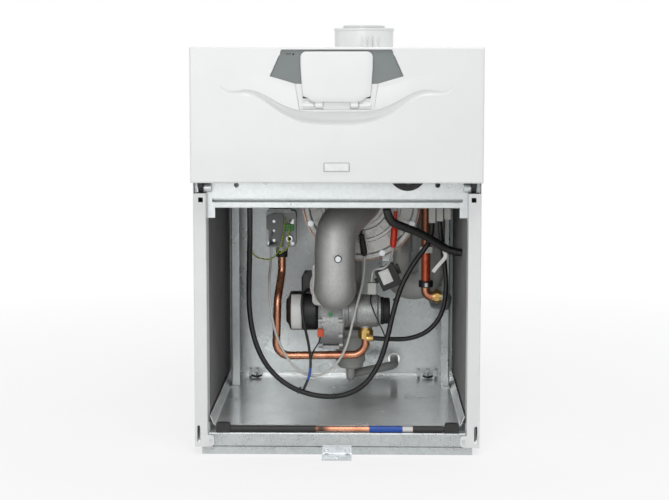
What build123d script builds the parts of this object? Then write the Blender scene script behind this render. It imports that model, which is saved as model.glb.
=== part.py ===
from build123d import *
import math
import os

# Floor-standing condensing boiler, shown with its lower front door taken off.
# Millimetres. X is to the right, Y to the back, Z up. The origin is the middle
# of the footprint on the floor. A depth d is measured back from the foremost face.

WIDTH = 600
DEPTH = 650
CASE_TOP = 855
FLUE_TOP = 909
FRONT_Y = -DEPTH / 2
SIDE_X = WIDTH / 2

# Casing sheet and its folds
SHEET = 1.5
BEND = 2.5
FLANGE_D = 50
FLANGE_X = 272.5
LIP_END_D = 100
SIDE_BOTTOM = 16.2
FLANGE_TOP = 553
BACK_D = 600
TRAY_Z = 57
RAIL_TOP = 46
PLINTH_TOP = 16

# Fascia and its sculpted front
FASCIA_BOTTOM = 578
FASCIA_DEPTH = 49.5
FASCIA_WALL = 3
PANEL_D = 3
CREST_MID = 725
CREST_RISE = 53
CREST_HALF = 240
SCOOP_DEPTH = 13

# Control flap and what lies behind it
FLAP_HALF = 74
FLAP_BOTTOM = 742
FLAP_TOP = 846.5
HINGE_Z = 736
HINGE_D = 6.5
KNUCKLE_R = 5
MODULE_D = 14
BUTTON_R = 5
BUTTON_PLACES = {"menu_button": (38, 824), "up_button": (38, 804), "down_button": (38, 784)}
INSET_OUTLINE = [(-112, 850), (112, 850), (136, 796), (85, 781), (76, 728)]
INSET_OUTLINE += [(-76, 728), (-85, 781), (-136, 796)]

# Tipping pivot of the fascia
PIVOT_Z = 564
PIVOT_D = 62
PIVOT_R = 9.5

# Heat exchanger, burner door and mixture duct
HX_X = 50
HX_Z = 510
HX_R = 125
DOOR_R = 131.5
DUCT_R = 44

# Fan: its axis runs along X
FAN_D = 305
FAN_Z = 267
SCROLL_LEFT = -45
SCROLL_RIGHT = 9
IMPELLER_R = 51
MOUTH_D = 258

# Pipes
GAS_R = 9
WATER_R = 11
SPIGOT_R = 11.5
DRAIN_R = 10
EXHAUST_R = 32
FLUE_X = 55
FLUE_D = 420
FLUE_BORE_R = 40.2
AIR_BORE_R = 62.7
TEST_POINTS = [(56, 344), (81, 348.5)]

# Ends of the pipes at the back, as X and Z
FLOW_END = (222, 258)
RETURN_END = (-30, 225)
GAS_END = (-150, 450)
DRAIN_END = (130, 100)

# Cable opening in the beam
GROMMET_X = 147
GROMMET_Z = 597
GROMMET_R = 40

# Screws of the gas valve cover, as X and Z
VALVE_SCREWS = [(-158, 418), (-106, 418), (-106, 464), (-130, 418)]

# Wiring: each lead's radius, then its route as X, depth and Z
LEADS = {
    "main_harness": (6, [
        (-185, 100, 518.4), (-186, 112, 470), (-190, 155, 415), (-195, 196, 352), (-197, 216, 282),
        (-187, 225, 212), (-158, 225, 150), (-108, 225, 106), (-45, 224, 86), (14, 224, 88),
        (60, 225, 113), (91, 225, 160), (108, 226, 217), (120, 226, 274), (136, 225, 331),
        (162, 224, 381), (192, 228, 420), (205.5, 235, 446), (205.5, 235, 473.6),
    ]),
    "right_harness": (5.5, [
        (222.5, 235, 477), (224, 236, 446), (233, 245, 392), (240, 254, 328), (232, 262, 268),
        (204, 269, 228), (165, 274, 209), (120, 276, 206), (76.8, 276, 209),
    ]),
    "thick_sleeve": (9, [
        (104, 99, 516.8), (108, 108, 490), (140, 142, 474), (180, 180, 456), (218, 212, 430),
        (244, 228, 412), (269.6, 232, 408),
    ]),
    "ionisation_lead": (2.8, [
        (57.1, 295.8, 390.8), (58, 284, 352), (44, 258, 300), (30, 250, 246), (18, 250, 192),
        (-8, 250, 148), (-48, 250, 124), (-90, 250, 136), (-122, 250, 178), (-144, 252, 230),
        (-153, 258, 289), (-157, 282, 336), (-156, 322, 364), (-155, 336, 380), (-155, 336, 407.8),
    ]),
    "ignition_lead": (2.8, [
        (121, 299.8, 409.4), (118, 290, 384), (102, 268, 368), (82, 272, 366), (74, 292, 356),
        (74, 295, 333),
    ]),
    "motor_lead": (3, [
        (-65.6, 273, 320), (-76, 266, 318), (-83, 250, 300), (-80, 243, 258), (-68, 244, 210),
        (-61, 246, 160), (-66, 240, 122), (-78, 231, 101),
    ]),
}


def at(d):
    """Y of a depth behind the foremost face."""
    return FRONT_Y + d


def block(x0, x1, d0, d1, z0, z1):
    """A rectangular piece given by its limits."""
    size = Box(x1 - x0, d1 - d0, z1 - z0)
    return Pos((x0 + x1) / 2, at((d0 + d1) / 2), (z0 + z1) / 2) * size


def rod_x(x0, x1, d, z, radius):
    """A round bar along X."""
    rod = Rot(0, 90, 0) * Cylinder(radius, x1 - x0)
    return Pos((x0 + x1) / 2, at(d), z) * rod


def rod_y(x, d0, d1, z, radius):
    """A round bar along Y."""
    rod = Rot(90, 0, 0) * Cylinder(radius, d1 - d0)
    return Pos(x, at((d0 + d1) / 2), z) * rod


def rod_z(x, d, z0, z1, radius):
    """A round bar along Z."""
    return Pos(x, at(d), (z0 + z1) / 2) * Cylinder(radius, z1 - z0)


def turned(points):
    """A turned piece about Z, from (radius, height) points of half its section."""
    outline = make_face(Polyline(*points, close=True))
    return revolve(Plane.XZ * outline, Axis.Z)


def folded(points, thickness, bend=BEND):
    """Section of a bent sheet that runs along the points, with rounded bends."""
    return trace(FilletPolyline(*points, radius=bend), thickness)


def upright(section, z0, z1):
    """A plan section, given in X and depth, carried up from z0 to z1."""
    return Pos(0, FRONT_Y, z0) * extrude(section, z1 - z0)


def across(section, x0, x1):
    """A side section, given in depth and Z, carried along X."""
    return Pos(x0, FRONT_Y, 0) * extrude(Plane.YZ * section, x1 - x0)


def plate_front(points, d0, d1):
    """A plate with a polygon outline in X and Z, between two depths."""
    outline = Plane.XZ * make_face(Polyline(*points, close=True))
    return Pos(0, at(d0), 0) * extrude(outline, -(d1 - d0))


def tube(points, radii, radius, bore=0):
    """A pipe or lead along straight runs joined by tangent arcs."""
    path = FilletPolyline(*[(x, at(d), z) for x, d, z in points], radius=radii)
    start = Plane(origin=path @ 0, z_dir=path % 0)
    section = Circle(radius)
    if bore:
        section = section - Circle(bore)
    return sweep(start * section, path=path)


def mirrored(shape):
    """The same piece on the other side of the boiler."""
    return mirror(shape, about=Plane.YZ)


def screw_y(x, d, z, radius, height):
    """A round-headed screw whose head faces the front at depth d."""
    head = rod_y(x, d - height, d, z, radius)
    slot = block(x - radius, x + radius, d - height - 1, d - height * 0.55, z - 0.6, z + 0.6)
    return head - slot


def ease(t):
    """A smooth step from 0 to 1."""
    t = min(max(t, 0), 1)
    return t * t * (3 - 2 * t)


def side_panel_left():
    """Folded white side sheet with a front flange, a return lip and a rear flange."""
    outer = -SIDE_X + SHEET / 2
    lip = -FLANGE_X - SHEET / 2
    front = FLANGE_D + SHEET / 2
    rear = DEPTH - SHEET / 2
    route = [(lip, LIP_END_D), (lip, front), (outer, front), (outer, rear), (outer + 22, rear)]
    panel = upright(folded(route, SHEET), SIDE_BOTTOM, CASE_TOP - SHEET)
    inside = -SIDE_X + SHEET
    panel -= block(inside, -FLANGE_X + 2, FLANGE_D - 1, LIP_END_D + 1, FLANGE_TOP, CASE_TOP)
    panel -= block(-289, -279, FLANGE_D - 1, FLANGE_D + 3, 534.5, 544.5)
    slot = block(-295, -288.4, FLANGE_D - 1, FLANGE_D + 3, 28, 59)
    slot += rod_y(-291.7, FLANGE_D - 1, FLANGE_D + 3, 28, 3.3)
    slot += rod_y(-291.7, FLANGE_D - 1, FLANGE_D + 3, 59, 3.3)
    panel -= slot
    tab = block(-FLANGE_X - SHEET, -259, FLANGE_D, FLANGE_D + SHEET, 17, 42)
    tab = fillet(tab.edges().filter_by(Axis.Y).group_by(Axis.X)[-1], 8)
    return panel + tab


def top_panel():
    """White top sheet with short folded rims and the opening for the flue adapter."""
    low = CASE_TOP - 12
    route = [(-SIDE_X + 3, low), (-SIDE_X + 3, CASE_TOP - SHEET / 2)]
    route += [(SIDE_X - 3, CASE_TOP - SHEET / 2), (SIDE_X - 3, low)]
    sheet = folded(route, SHEET)
    panel = Pos(0, at(DEPTH - 2), 0) * extrude(Plane.XZ * sheet, DEPTH - 2 - FLANGE_D - 2)
    panel += block(-SIDE_X + 6, SIDE_X - 6, FLANGE_D + 2, FLANGE_D + 3.5, low, CASE_TOP - 1)
    return panel - rod_z(FLUE_X, FLUE_D, CASE_TOP - 9, CASE_TOP + 1, 67)


def back_panel():
    """Galvanised back sheet, set in from the rear edges, with holes for the connections."""
    side = SIDE_X - 3
    front = BACK_D + SHEET / 2
    route = [(-side, DEPTH - 4), (-side, front), (side, front), (side, DEPTH - 4)]
    panel = upright(folded(route, SHEET), TRAY_Z, CASE_TOP - 14)
    for x, z in [FLOW_END, RETURN_END, GAS_END]:
        panel -= rod_y(x, BACK_D - 5, BACK_D + 5, z, WATER_R + 3)
    panel -= rod_y(DRAIN_END[0], BACK_D - 5, BACK_D + 5, DRAIN_END[1], 14)
    return panel


def base_tray():
    """Galvanised floor tray with raised side ledges and a folded front and rear edge."""
    route = [(-270, 78), (-261, TRAY_Z + 0.7), (261, TRAY_Z + 0.7), (270, 78)]
    floor = trace(FilletPolyline(*route, radius=3), SHEET)
    tray = Pos(0, at(BACK_D - 1), 0) * extrude(Plane.XZ * floor, BACK_D - 1 - 74)
    tray += block(-258, 258, 74, 75.5, TRAY_Z - 9, TRAY_Z + 0.5)
    tray += block(-258, 258, BACK_D - 3, BACK_D - 1.5, TRAY_Z, TRAY_Z + 8)
    return tray


def base_rails():
    """Side and rear rails of the base frame, folded C sections under the tray."""
    half = [(258, TRAY_Z - 0.8), (SIDE_X - 4, TRAY_Z - 0.8), (SIDE_X - 4, PLINTH_TOP + 0.8)]
    half += [(262, PLINTH_TOP + 0.8)]
    section = Plane.XZ * folded(half, SHEET)
    right = Pos(0, at(DEPTH - 6), 0) * extrude(section, DEPTH - 6 - 104)
    cross = [(BACK_D - 30, TRAY_Z - 0.8), (BACK_D - 4, TRAY_Z - 0.8)]
    cross += [(BACK_D - 4, PLINTH_TOP + 0.8), (BACK_D - 30, PLINTH_TOP + 0.8)]
    rear = across(folded(cross, SHEET), -258, 258)
    return right + mirrored(right) + rear


def front_rail():
    """Folded front rail between the two side flanges."""
    route = [(86, RAIL_TOP - 0.75), (55.75, RAIL_TOP - 0.75), (55.75, PLINTH_TOP + 0.8)]
    route += [(86, PLINTH_TOP + 0.8)]
    return across(folded(route, SHEET), -FLANGE_X + 2, FLANGE_X - 2)


def plinth():
    """Low plinth ring that the boiler stands on, set in under the casing."""
    ring = block(-285, 285, 54, DEPTH - 10, 0, PLINTH_TOP)
    return ring - block(-267, 267, 72, DEPTH - 28, -1, PLINTH_TOP + 1)


def door_bracket():
    """Folded bracket with a keyhole shelf, which locates the lower door."""
    route = [(2, 1), (FLANGE_D + 2.5, 1), (FLANGE_D + 2.5, 22)]
    bracket = across(folded(route, 2), -31, 31)
    bracket -= rod_z(0, 16, -1, 3, 5)
    bracket -= block(-2.5, 2.5, 19, 32, -1, 3)
    for x in (-22, 22):
        bracket -= block(x - 5, x + 5, FLANGE_D, FLANGE_D + 5, 5.5, 10.5)
    return bracket


def side_insulation_left():
    """Dark foam slab lining the side panel, with a bevelled lower front edge."""
    slab = block(-SIDE_X + 1.7, -FLANGE_X, LIP_END_D + 4, BACK_D - 2, 80, CASE_TOP - 14)
    edge = slab.edges().filter_by(Axis.Z).group_by(Axis.X)[-1].sort_by(Axis.Y)[0]
    return chamfer(edge, 5)


def rear_upright_left():
    """Galvanised angle that stands at the back and carries the inner parts."""
    route = [(-239, 471.75), (-258.2, 471.75), (-258.2, 520)]
    post = upright(folded(route, SHEET), TRAY_Z + 1.5, CASE_TOP - 14)
    return post + block(-259, -239, 455, 471.5, TRAY_Z + 1.5, TRAY_Z + 3)


def cross_beam():
    """Galvanised beam under the fascia: a face, a dark step and a lower ledge."""
    route = [(112, 640), (75, 640), (75, 539), (84, 539), (84, 536)]
    route += [(76, 532), (76, 521), (112, 521)]
    beam = across(trace(FilletPolyline(*route, radius=1.4), SHEET), -268, 268)
    beam -= rod_y(GROMMET_X, 60, 82, GROMMET_Z, GROMMET_R - 5)
    for x in (-211, 210):
        beam -= rod_y(x, 60, 82, 569, 5.5)
    return beam


def cable_grommet():
    """Black rubber ring that guards the cable opening in the beam."""
    flange = rod_y(GROMMET_X, 69, 74.1, GROMMET_Z, GROMMET_R)
    neck = rod_y(GROMMET_X, 69, 84, GROMMET_Z, GROMMET_R - 5.3)
    return fillet((flange + neck).edges().group_by(Axis.Y)[0], 2) - rod_y(
        GROMMET_X, 60, 90, GROMMET_Z, GROMMET_R - 13
    )


def beam_bracket_left():
    """Plate between side panel and beam, with the fixed bush of the fascia pivot."""
    plate = block(-SIDE_X + 1.6, -256, 72.4, 74.1, FLANGE_TOP + 0.5, 600)
    plate += block(-FLANGE_X + 0.2, -256, 72.4, 74.1, 500, FLANGE_TOP + 1)
    foot = block(-SIDE_X + 1.6, -SIDE_X + 3.2, 72.4, 98, FLANGE_TOP + 0.5, 600)
    bush = rod_x(-277, -263, PIVOT_D, PIVOT_Z, PIVOT_R)
    web = block(-277, -263, PIVOT_D, 73, PIVOT_Z - 7, PIVOT_Z + 7)
    pin = rod_x(-290.5, -263, PIVOT_D, PIVOT_Z, 3)
    steps = block(-272, -242, 71, 72.4, 528, 531) + block(-272, -257, 71, 72.4, 516, 519)
    notch = block(-262, -255, 70, 76, 533, 606)
    return plate + foot + bush + web + pin + steps - notch


def crest_height(x):
    """Height of the smile line: level in the middle, then a smooth rise outwards."""
    return CREST_MID + CREST_RISE * ease((abs(x) - 52) / 171)


def fade(x):
    """How strong the sculpting is at x: full in the middle and gone at the ends."""
    return 1 - ease(abs(x) / CREST_HALF)


def scoop_section(x):
    """Section of the hollow under the smile line, deepest just below the line."""
    strength = fade(x)
    top = crest_height(x)
    foot = top - 9 - 20 * strength
    edge = (at(PANEL_D + 0.2), top)
    hollow = (at(PANEL_D + 0.6 + SCOOP_DEPTH * strength), top - 0.36 * (top - foot))
    end = (at(PANEL_D), foot)
    curve = ThreePointArc(edge, hollow, end)
    rest = Polyline(end, (at(-5), foot), (at(-5), top), edge)
    return Plane.YZ.offset(x) * make_face(curve + rest)


def backing_section(x):
    """Section of the wall behind the hollow, which keeps it one wall thick."""
    strength = fade(x)
    top = crest_height(x) + 3
    foot = top - 15 - 20 * strength
    edge = (at(PANEL_D + 1), top)
    hollow = (at(PANEL_D + 4 + SCOOP_DEPTH * strength), top - 0.36 * (top - foot))
    end = (at(PANEL_D + 1), foot)
    return Plane.YZ.offset(x) * make_face(ThreePointArc(edge, hollow, end) + Line(end, edge))


def lip_section(x):
    """Section of the raised lip above the smile line."""
    strength = fade(x)
    low = crest_height(x)
    high = low + 22 + 30 * strength
    proud = PANEL_D - 0.2 - (PANEL_D - 0.2) * strength
    curve = ThreePointArc(
        (at(PANEL_D), high), (at(proud + 0.25 * (PANEL_D - proud)), (low + high) / 2), (at(proud), low)
    )
    back = PANEL_D + 1
    rest = Polyline((at(proud), low), (at(back), low), (at(back), high), (at(PANEL_D), high))
    return Plane.YZ.offset(x) * make_face(curve + rest)


def sculpted(section_at):
    """Smooth body through sections spaced evenly across the fascia."""
    stations = [CREST_HALF * (i - 4) / 4 * 0.985 for i in range(9)]
    return loft([section_at(x) for x in stations])


def fascia_panel():
    """White moulded fascia: an open-backed pan with a hollow under a smile-shaped lip."""
    body = block(-SIDE_X, SIDE_X, PANEL_D, FASCIA_DEPTH, FASCIA_BOTTOM, CASE_TOP)
    corners = body.edges().filter_by(Axis.Z).group_by(Axis.Y)[0]
    rims = body.edges().filter_by(Axis.X).group_by(Axis.Y)[0]
    body = fillet(corners + rims, 4)
    inside = block(
        -SIDE_X + FASCIA_WALL, SIDE_X - FASCIA_WALL, PANEL_D + FASCIA_WALL, FASCIA_DEPTH + 1,
        FASCIA_BOTTOM + FASCIA_WALL, CASE_TOP - FASCIA_WALL,
    )
    body -= inside
    body += sculpted(backing_section)
    body += sculpted(lip_section)
    body -= sculpted(scoop_section)
    body -= plate_front(INSET_OUTLINE, -2, FASCIA_DEPTH + 1)
    for side in (-1, 1):
        body -= block(side * 284 - 5.6, side * 284 + 5.6, 37, FASCIA_DEPTH + 1, 577, 582)
    plate = block(-30, 30, PANEL_D - 0.8, PANEL_D + 1, 598, 623.5)
    plate = fillet(plate.edges().filter_by(Axis.Y), 3)
    return body + plate - block(-27.5, 27.5, 0, PANEL_D - 0.2, 600.5, 621)


def control_inset():
    """Grey moulded surround of the flap, with the window of the user module and hinge ears."""
    outline = [(x * 0.994, 789 + (z - 789) * 0.992) for x, z in INSET_OUTLINE]
    inset = plate_front(outline, 6.5, 9.5)
    inset += block(-86, 86, 9.5, 12, 731, 849)
    inset -= block(-69, 69, 5, 13, 751, 839)
    for side in (-1, 1):
        ear = rod_x(side * 58.5 - 11.5, side * 58.5 + 11.5, HINGE_D, HINGE_Z, KNUCKLE_R)
        foot = block(side * 58.5 - 11.5, side * 58.5 + 11.5, HINGE_D, 12, HINGE_Z - 4, HINGE_Z + 4)
        inset += ear + foot
        inset -= rod_x(side * 57.5 - 13.5, side * 57.5 + 13.5, HINGE_D, HINGE_Z, 1.6)
        inset -= block(side * 36 - 8.5, side * 36 + 8.5, 0, 12.1, HINGE_Z - 5.6, HINGE_Z + 8)
    return inset


def control_flap():
    """White flap over the controls, with two arms that end in hinge knuckles."""
    flap = block(-FLAP_HALF, FLAP_HALF, 0.5, 3.5, FLAP_BOTTOM, FLAP_TOP)
    flap = fillet(flap.edges().filter_by(Axis.Y), 12)
    flap = fillet(flap.faces().sort_by(Axis.Y)[0].edges(), 1)
    for side in (-1, 1):
        knuckle = rod_x(side * 36 - 8, side * 36 + 8, HINGE_D, HINGE_Z, KNUCKLE_R)
        arm = block(side * 36 - 8, side * 36 + 8, 1.5, 4.5, HINGE_Z, FLAP_BOTTOM + 4)
        flap += knuckle + arm
        flap -= rod_x(side * 36 - 9, side * 36 + 9, HINGE_D, HINGE_Z, 1.6)
    return flap


def flap_hinge_pins():
    """Two steel pins through the flap knuckles and the ears beside them."""
    left = rod_x(-68, -28.5, HINGE_D, HINGE_Z, 1.5)
    return Compound(children=[left, mirrored(left)])


def user_module():
    """Dark moulded control unit behind the flap, with wells for display, buttons and rocker."""
    unit = block(-85, 85, MODULE_D, 46, 743, 848)
    unit += block(-68, 68, 9, MODULE_D, 752, 838)
    unit = fillet(unit.edges().filter_by(Axis.Y).group_by(Axis.Y)[0], 5)
    unit -= block(-58, 10, 6, 12, 782, 826)
    for x, z in BUTTON_PLACES.values():
        unit -= rod_y(x, 6, 18, z, BUTTON_R + 0.35)
    unit -= block(-22, 2, 6, 24, 757, 771)
    unit -= rod_z(-10, 13, 755.8, 772.2, 2.1)
    unit += block(-50, 2, 11.3, 12.2, 788, 820)
    return unit


def display_lens():
    """Clear lens over the display well."""
    lens = block(-57.6, 9.6, 9.2, 11, 782.4, 825.6)
    return fillet(lens.edges().filter_by(Axis.Y), 2)


def push_button(place):
    """Round push button with a domed face and a wider hidden collar."""
    x, z = place
    cap = rod_y(x, 6.8, 15.5, z, BUTTON_R)
    cap = fillet(cap.edges().group_by(Axis.Y)[0], 1)
    return cap


def rocker_switch():
    """Mains rocker with two sloping faces about its own short axle."""
    outline = [(-11, 6.6), (0, 8.6), (11, 7.8), (11, 12), (4, 18), (-4, 18), (-11, 12)]
    line = Polyline(*[(x - 10, at(d)) for x, d in outline], close=True)
    rocker = Pos(0, 0, 758) * extrude(make_face(line), 12)
    return rocker + rod_z(-10, 13, 756.2, 758, 2) + rod_z(-10, 13, 770, 771.8, 2)


def control_box():
    """Black electronics housing in the back of the fascia, with ribs on its cover."""
    box = block(-215, 215, 21, 46, 592, 690)
    box = fillet(box.edges().filter_by(Axis.Y), 6)
    for i in range(9):
        box += block(-160 + 40 * i - 1, -160 + 40 * i + 1, 46, 48, 600, 682)
    box += block(-226, -215, 43, 46, 630, 652) + block(215, 226, 43, 46, 630, 652)
    return box


def fascia_hinge_arm_left():
    """Dark plastic arm on the fascia that turns on the pivot pin."""
    arm = rod_x(-289, -279, PIVOT_D, PIVOT_Z, PIVOT_R)
    arm += plate_front([(-289, 566), (-279, 566), (-279, 625), (-289, 625)], 38, 49)
    link = make_face(Polyline((49, 612), (49, 566), (59, 555.5), (69, 570), close=True))
    arm += across(link, -289, -279)
    arm += block(-296.8, -289, 38, 44, 588, 625)
    return arm - rod_x(-290, -278, PIVOT_D, PIVOT_Z, 3.2)


def flue_air_adapter():
    """White air socket on the casing top, with a collar, test stubs and three inner webs."""
    ring = turned(
        [(AIR_BORE_R, 856), (AIR_BORE_R, 902), (69, 902), (69, 898), (67.2, 896), (67.2, 860),
         (84, 858.5), (84, 855.1), (66.5, 855.1), (66.5, 836), (AIR_BORE_R, 836)]
    )
    ring = Pos(FLUE_X, at(FLUE_D), 0) * ring
    for x, d in TEST_POINTS:
        ring += rod_z(x, d, 857, 873, 6.2)
        ring -= rod_z(x, d, 862, 874, 4.3)
    for turn in (30, 150, 270):
        web = Pos(56, 0, 842) * Box(14, 4, 10)
        ring += Pos(FLUE_X, at(FLUE_D), 0) * (Rot(0, 0, turn) * web)
    return ring


def flue_gas_socket():
    """Inner flue socket with a beaded rim, standing a little above the air socket."""
    socket = turned(
        [(FLUE_BORE_R, FLUE_TOP), (46.2, FLUE_TOP), (47.5, 907.5), (47.5, 903), (45.5, 901), (45.5, 862),
         (43, 857), (43, 850), (48.8, 850), (48.8, 834), (36, 830), (36, 822), (30, 822),
         (30, 848), (36, 854), (FLUE_BORE_R, 854)]
    )
    return Pos(FLUE_X, at(FLUE_D), 0) * socket


def test_cap(place):
    """Push-in cap of a flue test point."""
    x, d = place
    cap = rod_z(x, d, 873.2, 883, 7.2)
    cap = fillet(cap.edges().group_by(Axis.Z)[-1], 1.5)
    return cap + rod_z(x, d, 864, 873.2, 4)


def heat_exchanger():
    """Round cast heat exchanger lying on its side, with cooling beads and pipe sockets."""
    body = turned(
        [(0, 0), (DOOR_R, 0), (DOOR_R, 8), (HX_R, 9), (HX_R, 60), (HX_R + 3, 66), (HX_R, 72),
         (HX_R, 120), (HX_R + 3, 126), (HX_R, 132), (HX_R, 190), (HX_R - 8, 208),
         (60, 214), (0, 214)]
    )
    body = Pos(HX_X, at(342), HX_Z) * (Rot(-90, 0, 0) * body)
    body -= rod_y(HX_X, 341, 520, HX_Z, 70)
    body += rod_z(132, 430, 386, 470, 37)
    body += rod_z(RETURN_END[0], 500, 398, 470, 16)
    body += rod_z(100, 375, 600, 645, 16)
    body += rod_z(40, 520, 384, 410, 14)
    return body - rod_y(HX_X, 341, 520, HX_Z, 70)


def burner():
    """Perforated burner cylinder on its flange inside the heat exchanger."""
    flange = rod_y(HX_X, 334.2, 341.8, HX_Z, 60)
    tube_part = rod_y(HX_X, 341.8, 500, HX_Z, 35)
    return flange + tube_part


def burner_door():
    """Cast burner door: a dished disc with a rim, a raised ring, a hub and radial ribs."""
    disc = turned(
        [(0, 0), (DOOR_R, 0), (DOOR_R, 9), (DOOR_R - 3, 11), (120, 11), (116, 6), (92, 6),
         (90, 10), (84, 10), (82, 6), (64, 7), (60, 15.8), (0, 15.8)]
    )
    rib = make_face(Polyline((62, 5), (62, 14), (84, 10), (118, 10.5), (118, 5), close=True))
    rib = Pos(0, 1.5, 0) * extrude(Plane.XZ * rib, 3)
    for i in range(24):
        disc += Rot(0, 0, 15 * i + 7.5) * rib
    for i in range(8):
        lug = Pos(0, 0, 5.5) * extrude(Pos(124, 0) * Circle(9), 7)
        disc += Rot(0, 0, 45 * i + 22.5) * (Pos(0, 0, -5.5) * lug)
    return Pos(HX_X, at(334), HX_Z) * (Rot(90, 0, 0) * disc)


def door_gasket():
    """Copper-coloured sealing ring between burner door and heat exchanger."""
    ring = rod_y(HX_X, 334.2, 341.8, HX_Z, DOOR_R + 2)
    return ring - rod_y(HX_X, 330, 345, HX_Z, 110)


def door_bolts():
    """Eight flanged hexagon nuts on the burner door."""
    nut = extrude(RegularPolygon(5.8, 6), 6) + extrude(Circle(7), 1.6)
    nuts = []
    for i in range(8):
        turn = math.radians(45 * i + 22.5)
        x = HX_X + 124 * math.cos(turn)
        z = HX_Z + 124 * math.sin(turn)
        nuts.append(Pos(x, at(334 - 11), z) * (Rot(90, 0, 0) * nut))
    return Compound(children=nuts)


def mixture_duct():
    """Cast duct from the fan outlet, with a rounded foot and an S-bend up to the burner door."""
    path = [(-7.5, 251, 330), (-7.5, 200, 330), (-7.5, 200, 445), (50, 225, 514), (50, 317, 514)]
    duct = tube(path, [45, 60, 55], DUCT_R)
    duct += rod_y(50, 311, 318, 514, 55)
    duct += rod_y(-14, 246.5, 253, 330, 50) & block(-70, SCROLL_RIGHT - 0.2, 240, 254, 288, 392)
    duct += rod_y(0.5, 150, 175, 403.5, 8)
    return duct


def duct_plug():
    """Test plug with a black ring on the front of the duct."""
    plug = rod_y(0.5, 145, 150, 403.5, 6.5)
    return fillet(plug.edges().group_by(Axis.Y)[0], 1) - block(-5, 6, 144, 146.5, 402.9, 404.1)


def scroll_line(offset_r):
    """Spiral outline of the fan volute, ending in a straight outlet that faces the front."""
    points = []
    for i in range(10):
        part = i / 9
        angle = math.radians(185 + 265 * part)
        radius = 64 + 26 * part**0.55 - offset_r
        points.append((FAN_D + radius * math.cos(angle), FAN_Z + radius * math.sin(angle)))
    curve = Spline(*points)
    mouth_top = FAN_Z + 90 - offset_r
    mouth_low = FAN_Z + 30 + offset_r
    top_end = points[-1]
    route = Polyline(top_end, (MOUTH_D, mouth_top), (MOUTH_D, mouth_low), points[0])
    return make_face(curve + route)


def fan_housing():
    """Cast volute: spiral shell with beaded bolt flanges and a square outlet flange."""
    shell = across(scroll_line(0), SCROLL_LEFT + 5, SCROLL_RIGHT - 5)
    rim = across(scroll_line(-3.5), SCROLL_LEFT, SCROLL_LEFT + 5)
    rim += across(scroll_line(-3.5), SCROLL_RIGHT - 5, SCROLL_RIGHT)
    shell = shell + rim
    for i in range(9):
        turn = math.radians(190 + 29 * i)
        radius = 68 + 26 * (i / 9) ** 0.55
        d = FAN_D + radius * math.cos(turn)
        z = FAN_Z + radius * math.sin(turn)
        shell += rod_x(SCROLL_LEFT, SCROLL_LEFT + 9, d, z, 6)
        shell += rod_x(SCROLL_RIGHT - 9, SCROLL_RIGHT, d, z, 6)
    shell += rod_y(-14, 253.2, 259, 330, 50) & block(-70, SCROLL_RIGHT - 0.2, 250, 262, 286, 392)
    shell -= rod_x(SCROLL_LEFT + 4, SCROLL_RIGHT + 1, FAN_D, FAN_Z, IMPELLER_R + 3)
    shell -= rod_x(SCROLL_LEFT - 1, SCROLL_LEFT + 5, FAN_D, FAN_Z, 12)
    return shell + block(-38, 2, 285, 325, 182, 190)


def fan_cover():
    """Flat cover of the volute with its inlet ring."""
    cover = rod_x(SCROLL_RIGHT, SCROLL_RIGHT + 3, FAN_D, FAN_Z, 58)
    cover += rod_x(SCROLL_RIGHT + 3, SCROLL_RIGHT + 6.2, FAN_D, FAN_Z, 40)
    return cover - rod_x(SCROLL_RIGHT - 1, SCROLL_RIGHT + 7, FAN_D, FAN_Z, 24)


def fan_impeller():
    """Backward-curved fan wheel with twelve blades on a plate, hub and shaft."""
    wheel = rod_x(SCROLL_LEFT + 9, SCROLL_LEFT + 11.5, FAN_D, FAN_Z, IMPELLER_R)
    wheel += rod_x(SCROLL_LEFT + 9, SCROLL_LEFT + 30, FAN_D, FAN_Z, 11)
    arc = ThreePointArc((16, 0), (36, 11), (IMPELLER_R - 1, 10.5))
    blade = extrude(trace(arc, 1.4), 28)
    for i in range(12):
        turned_blade = Rot(0, 90, 0) * (Rot(0, 0, 30 * i) * blade)
        wheel += Pos(SCROLL_LEFT + 11, at(FAN_D), FAN_Z) * turned_blade
    return wheel + rod_x(-100, SCROLL_LEFT + 10, FAN_D, FAN_Z, 4)


def fan_motor():
    """Black motor can with a stepped face, bored for the shaft."""
    can = turned([(0, 0), (26, 0), (30, 4), (43, 9), (44, 14), (44, 66), (42, 70), (38, 73.2),
                  (0, 73.2)])
    can = Pos(-118.4, at(FAN_D), FAN_Z) * (Rot(0, 90, 0) * can)
    return can - rod_x(-104, SCROLL_LEFT + 1, FAN_D, FAN_Z, 6)


def motor_electronics():
    """Black electronics cover on the motor, higher towards the volute."""
    outline = [(-84, 309), (-84, 344), (-78, 355), (-56, 355), (-48, 348), (-48, 309)]
    cover = plate_front(outline, 280, 330)
    cover = fillet(cover.edges().filter_by(Axis.Z), 5)
    return cover - rod_x(-120, -40, FAN_D, FAN_Z, 44.3)


def motor_plug():
    """Orange-red connector on the front of the electronics cover."""
    plug = block(-63, -49, 266, 279.8, 311, 330)
    return fillet(plug.edges().filter_by(Axis.Y), 1.5)


def mixer():
    """Gas and air mixing tube on the fan inlet, with ribs and a boss for the gas pipe."""
    body = turned([(24, 0), (37, 0), (37, 5), (34.5, 7), (34.5, 24), (36.8, 26), (36.8, 70),
                   (34, 74), (34, 78), (24, 78)])
    body = Pos(15.4, at(FAN_D), FAN_Z) * (Rot(0, 90, 0) * body)
    body += rod_z(60, FAN_D, 229.5, 240, 15) & rod_z(60, FAN_D, 229.5, 233.4, 15)
    return body


def intake_rubber():
    """Black rubber air intake on the end of the mixer."""
    ring = turned([(21, 0), (31, 0), (31, 6), (29.5, 8), (29.5, 18), (27, 21), (21, 21)])
    return Pos(93.6, at(FAN_D), FAN_Z) * (Rot(0, 90, 0) * ring)


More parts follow.
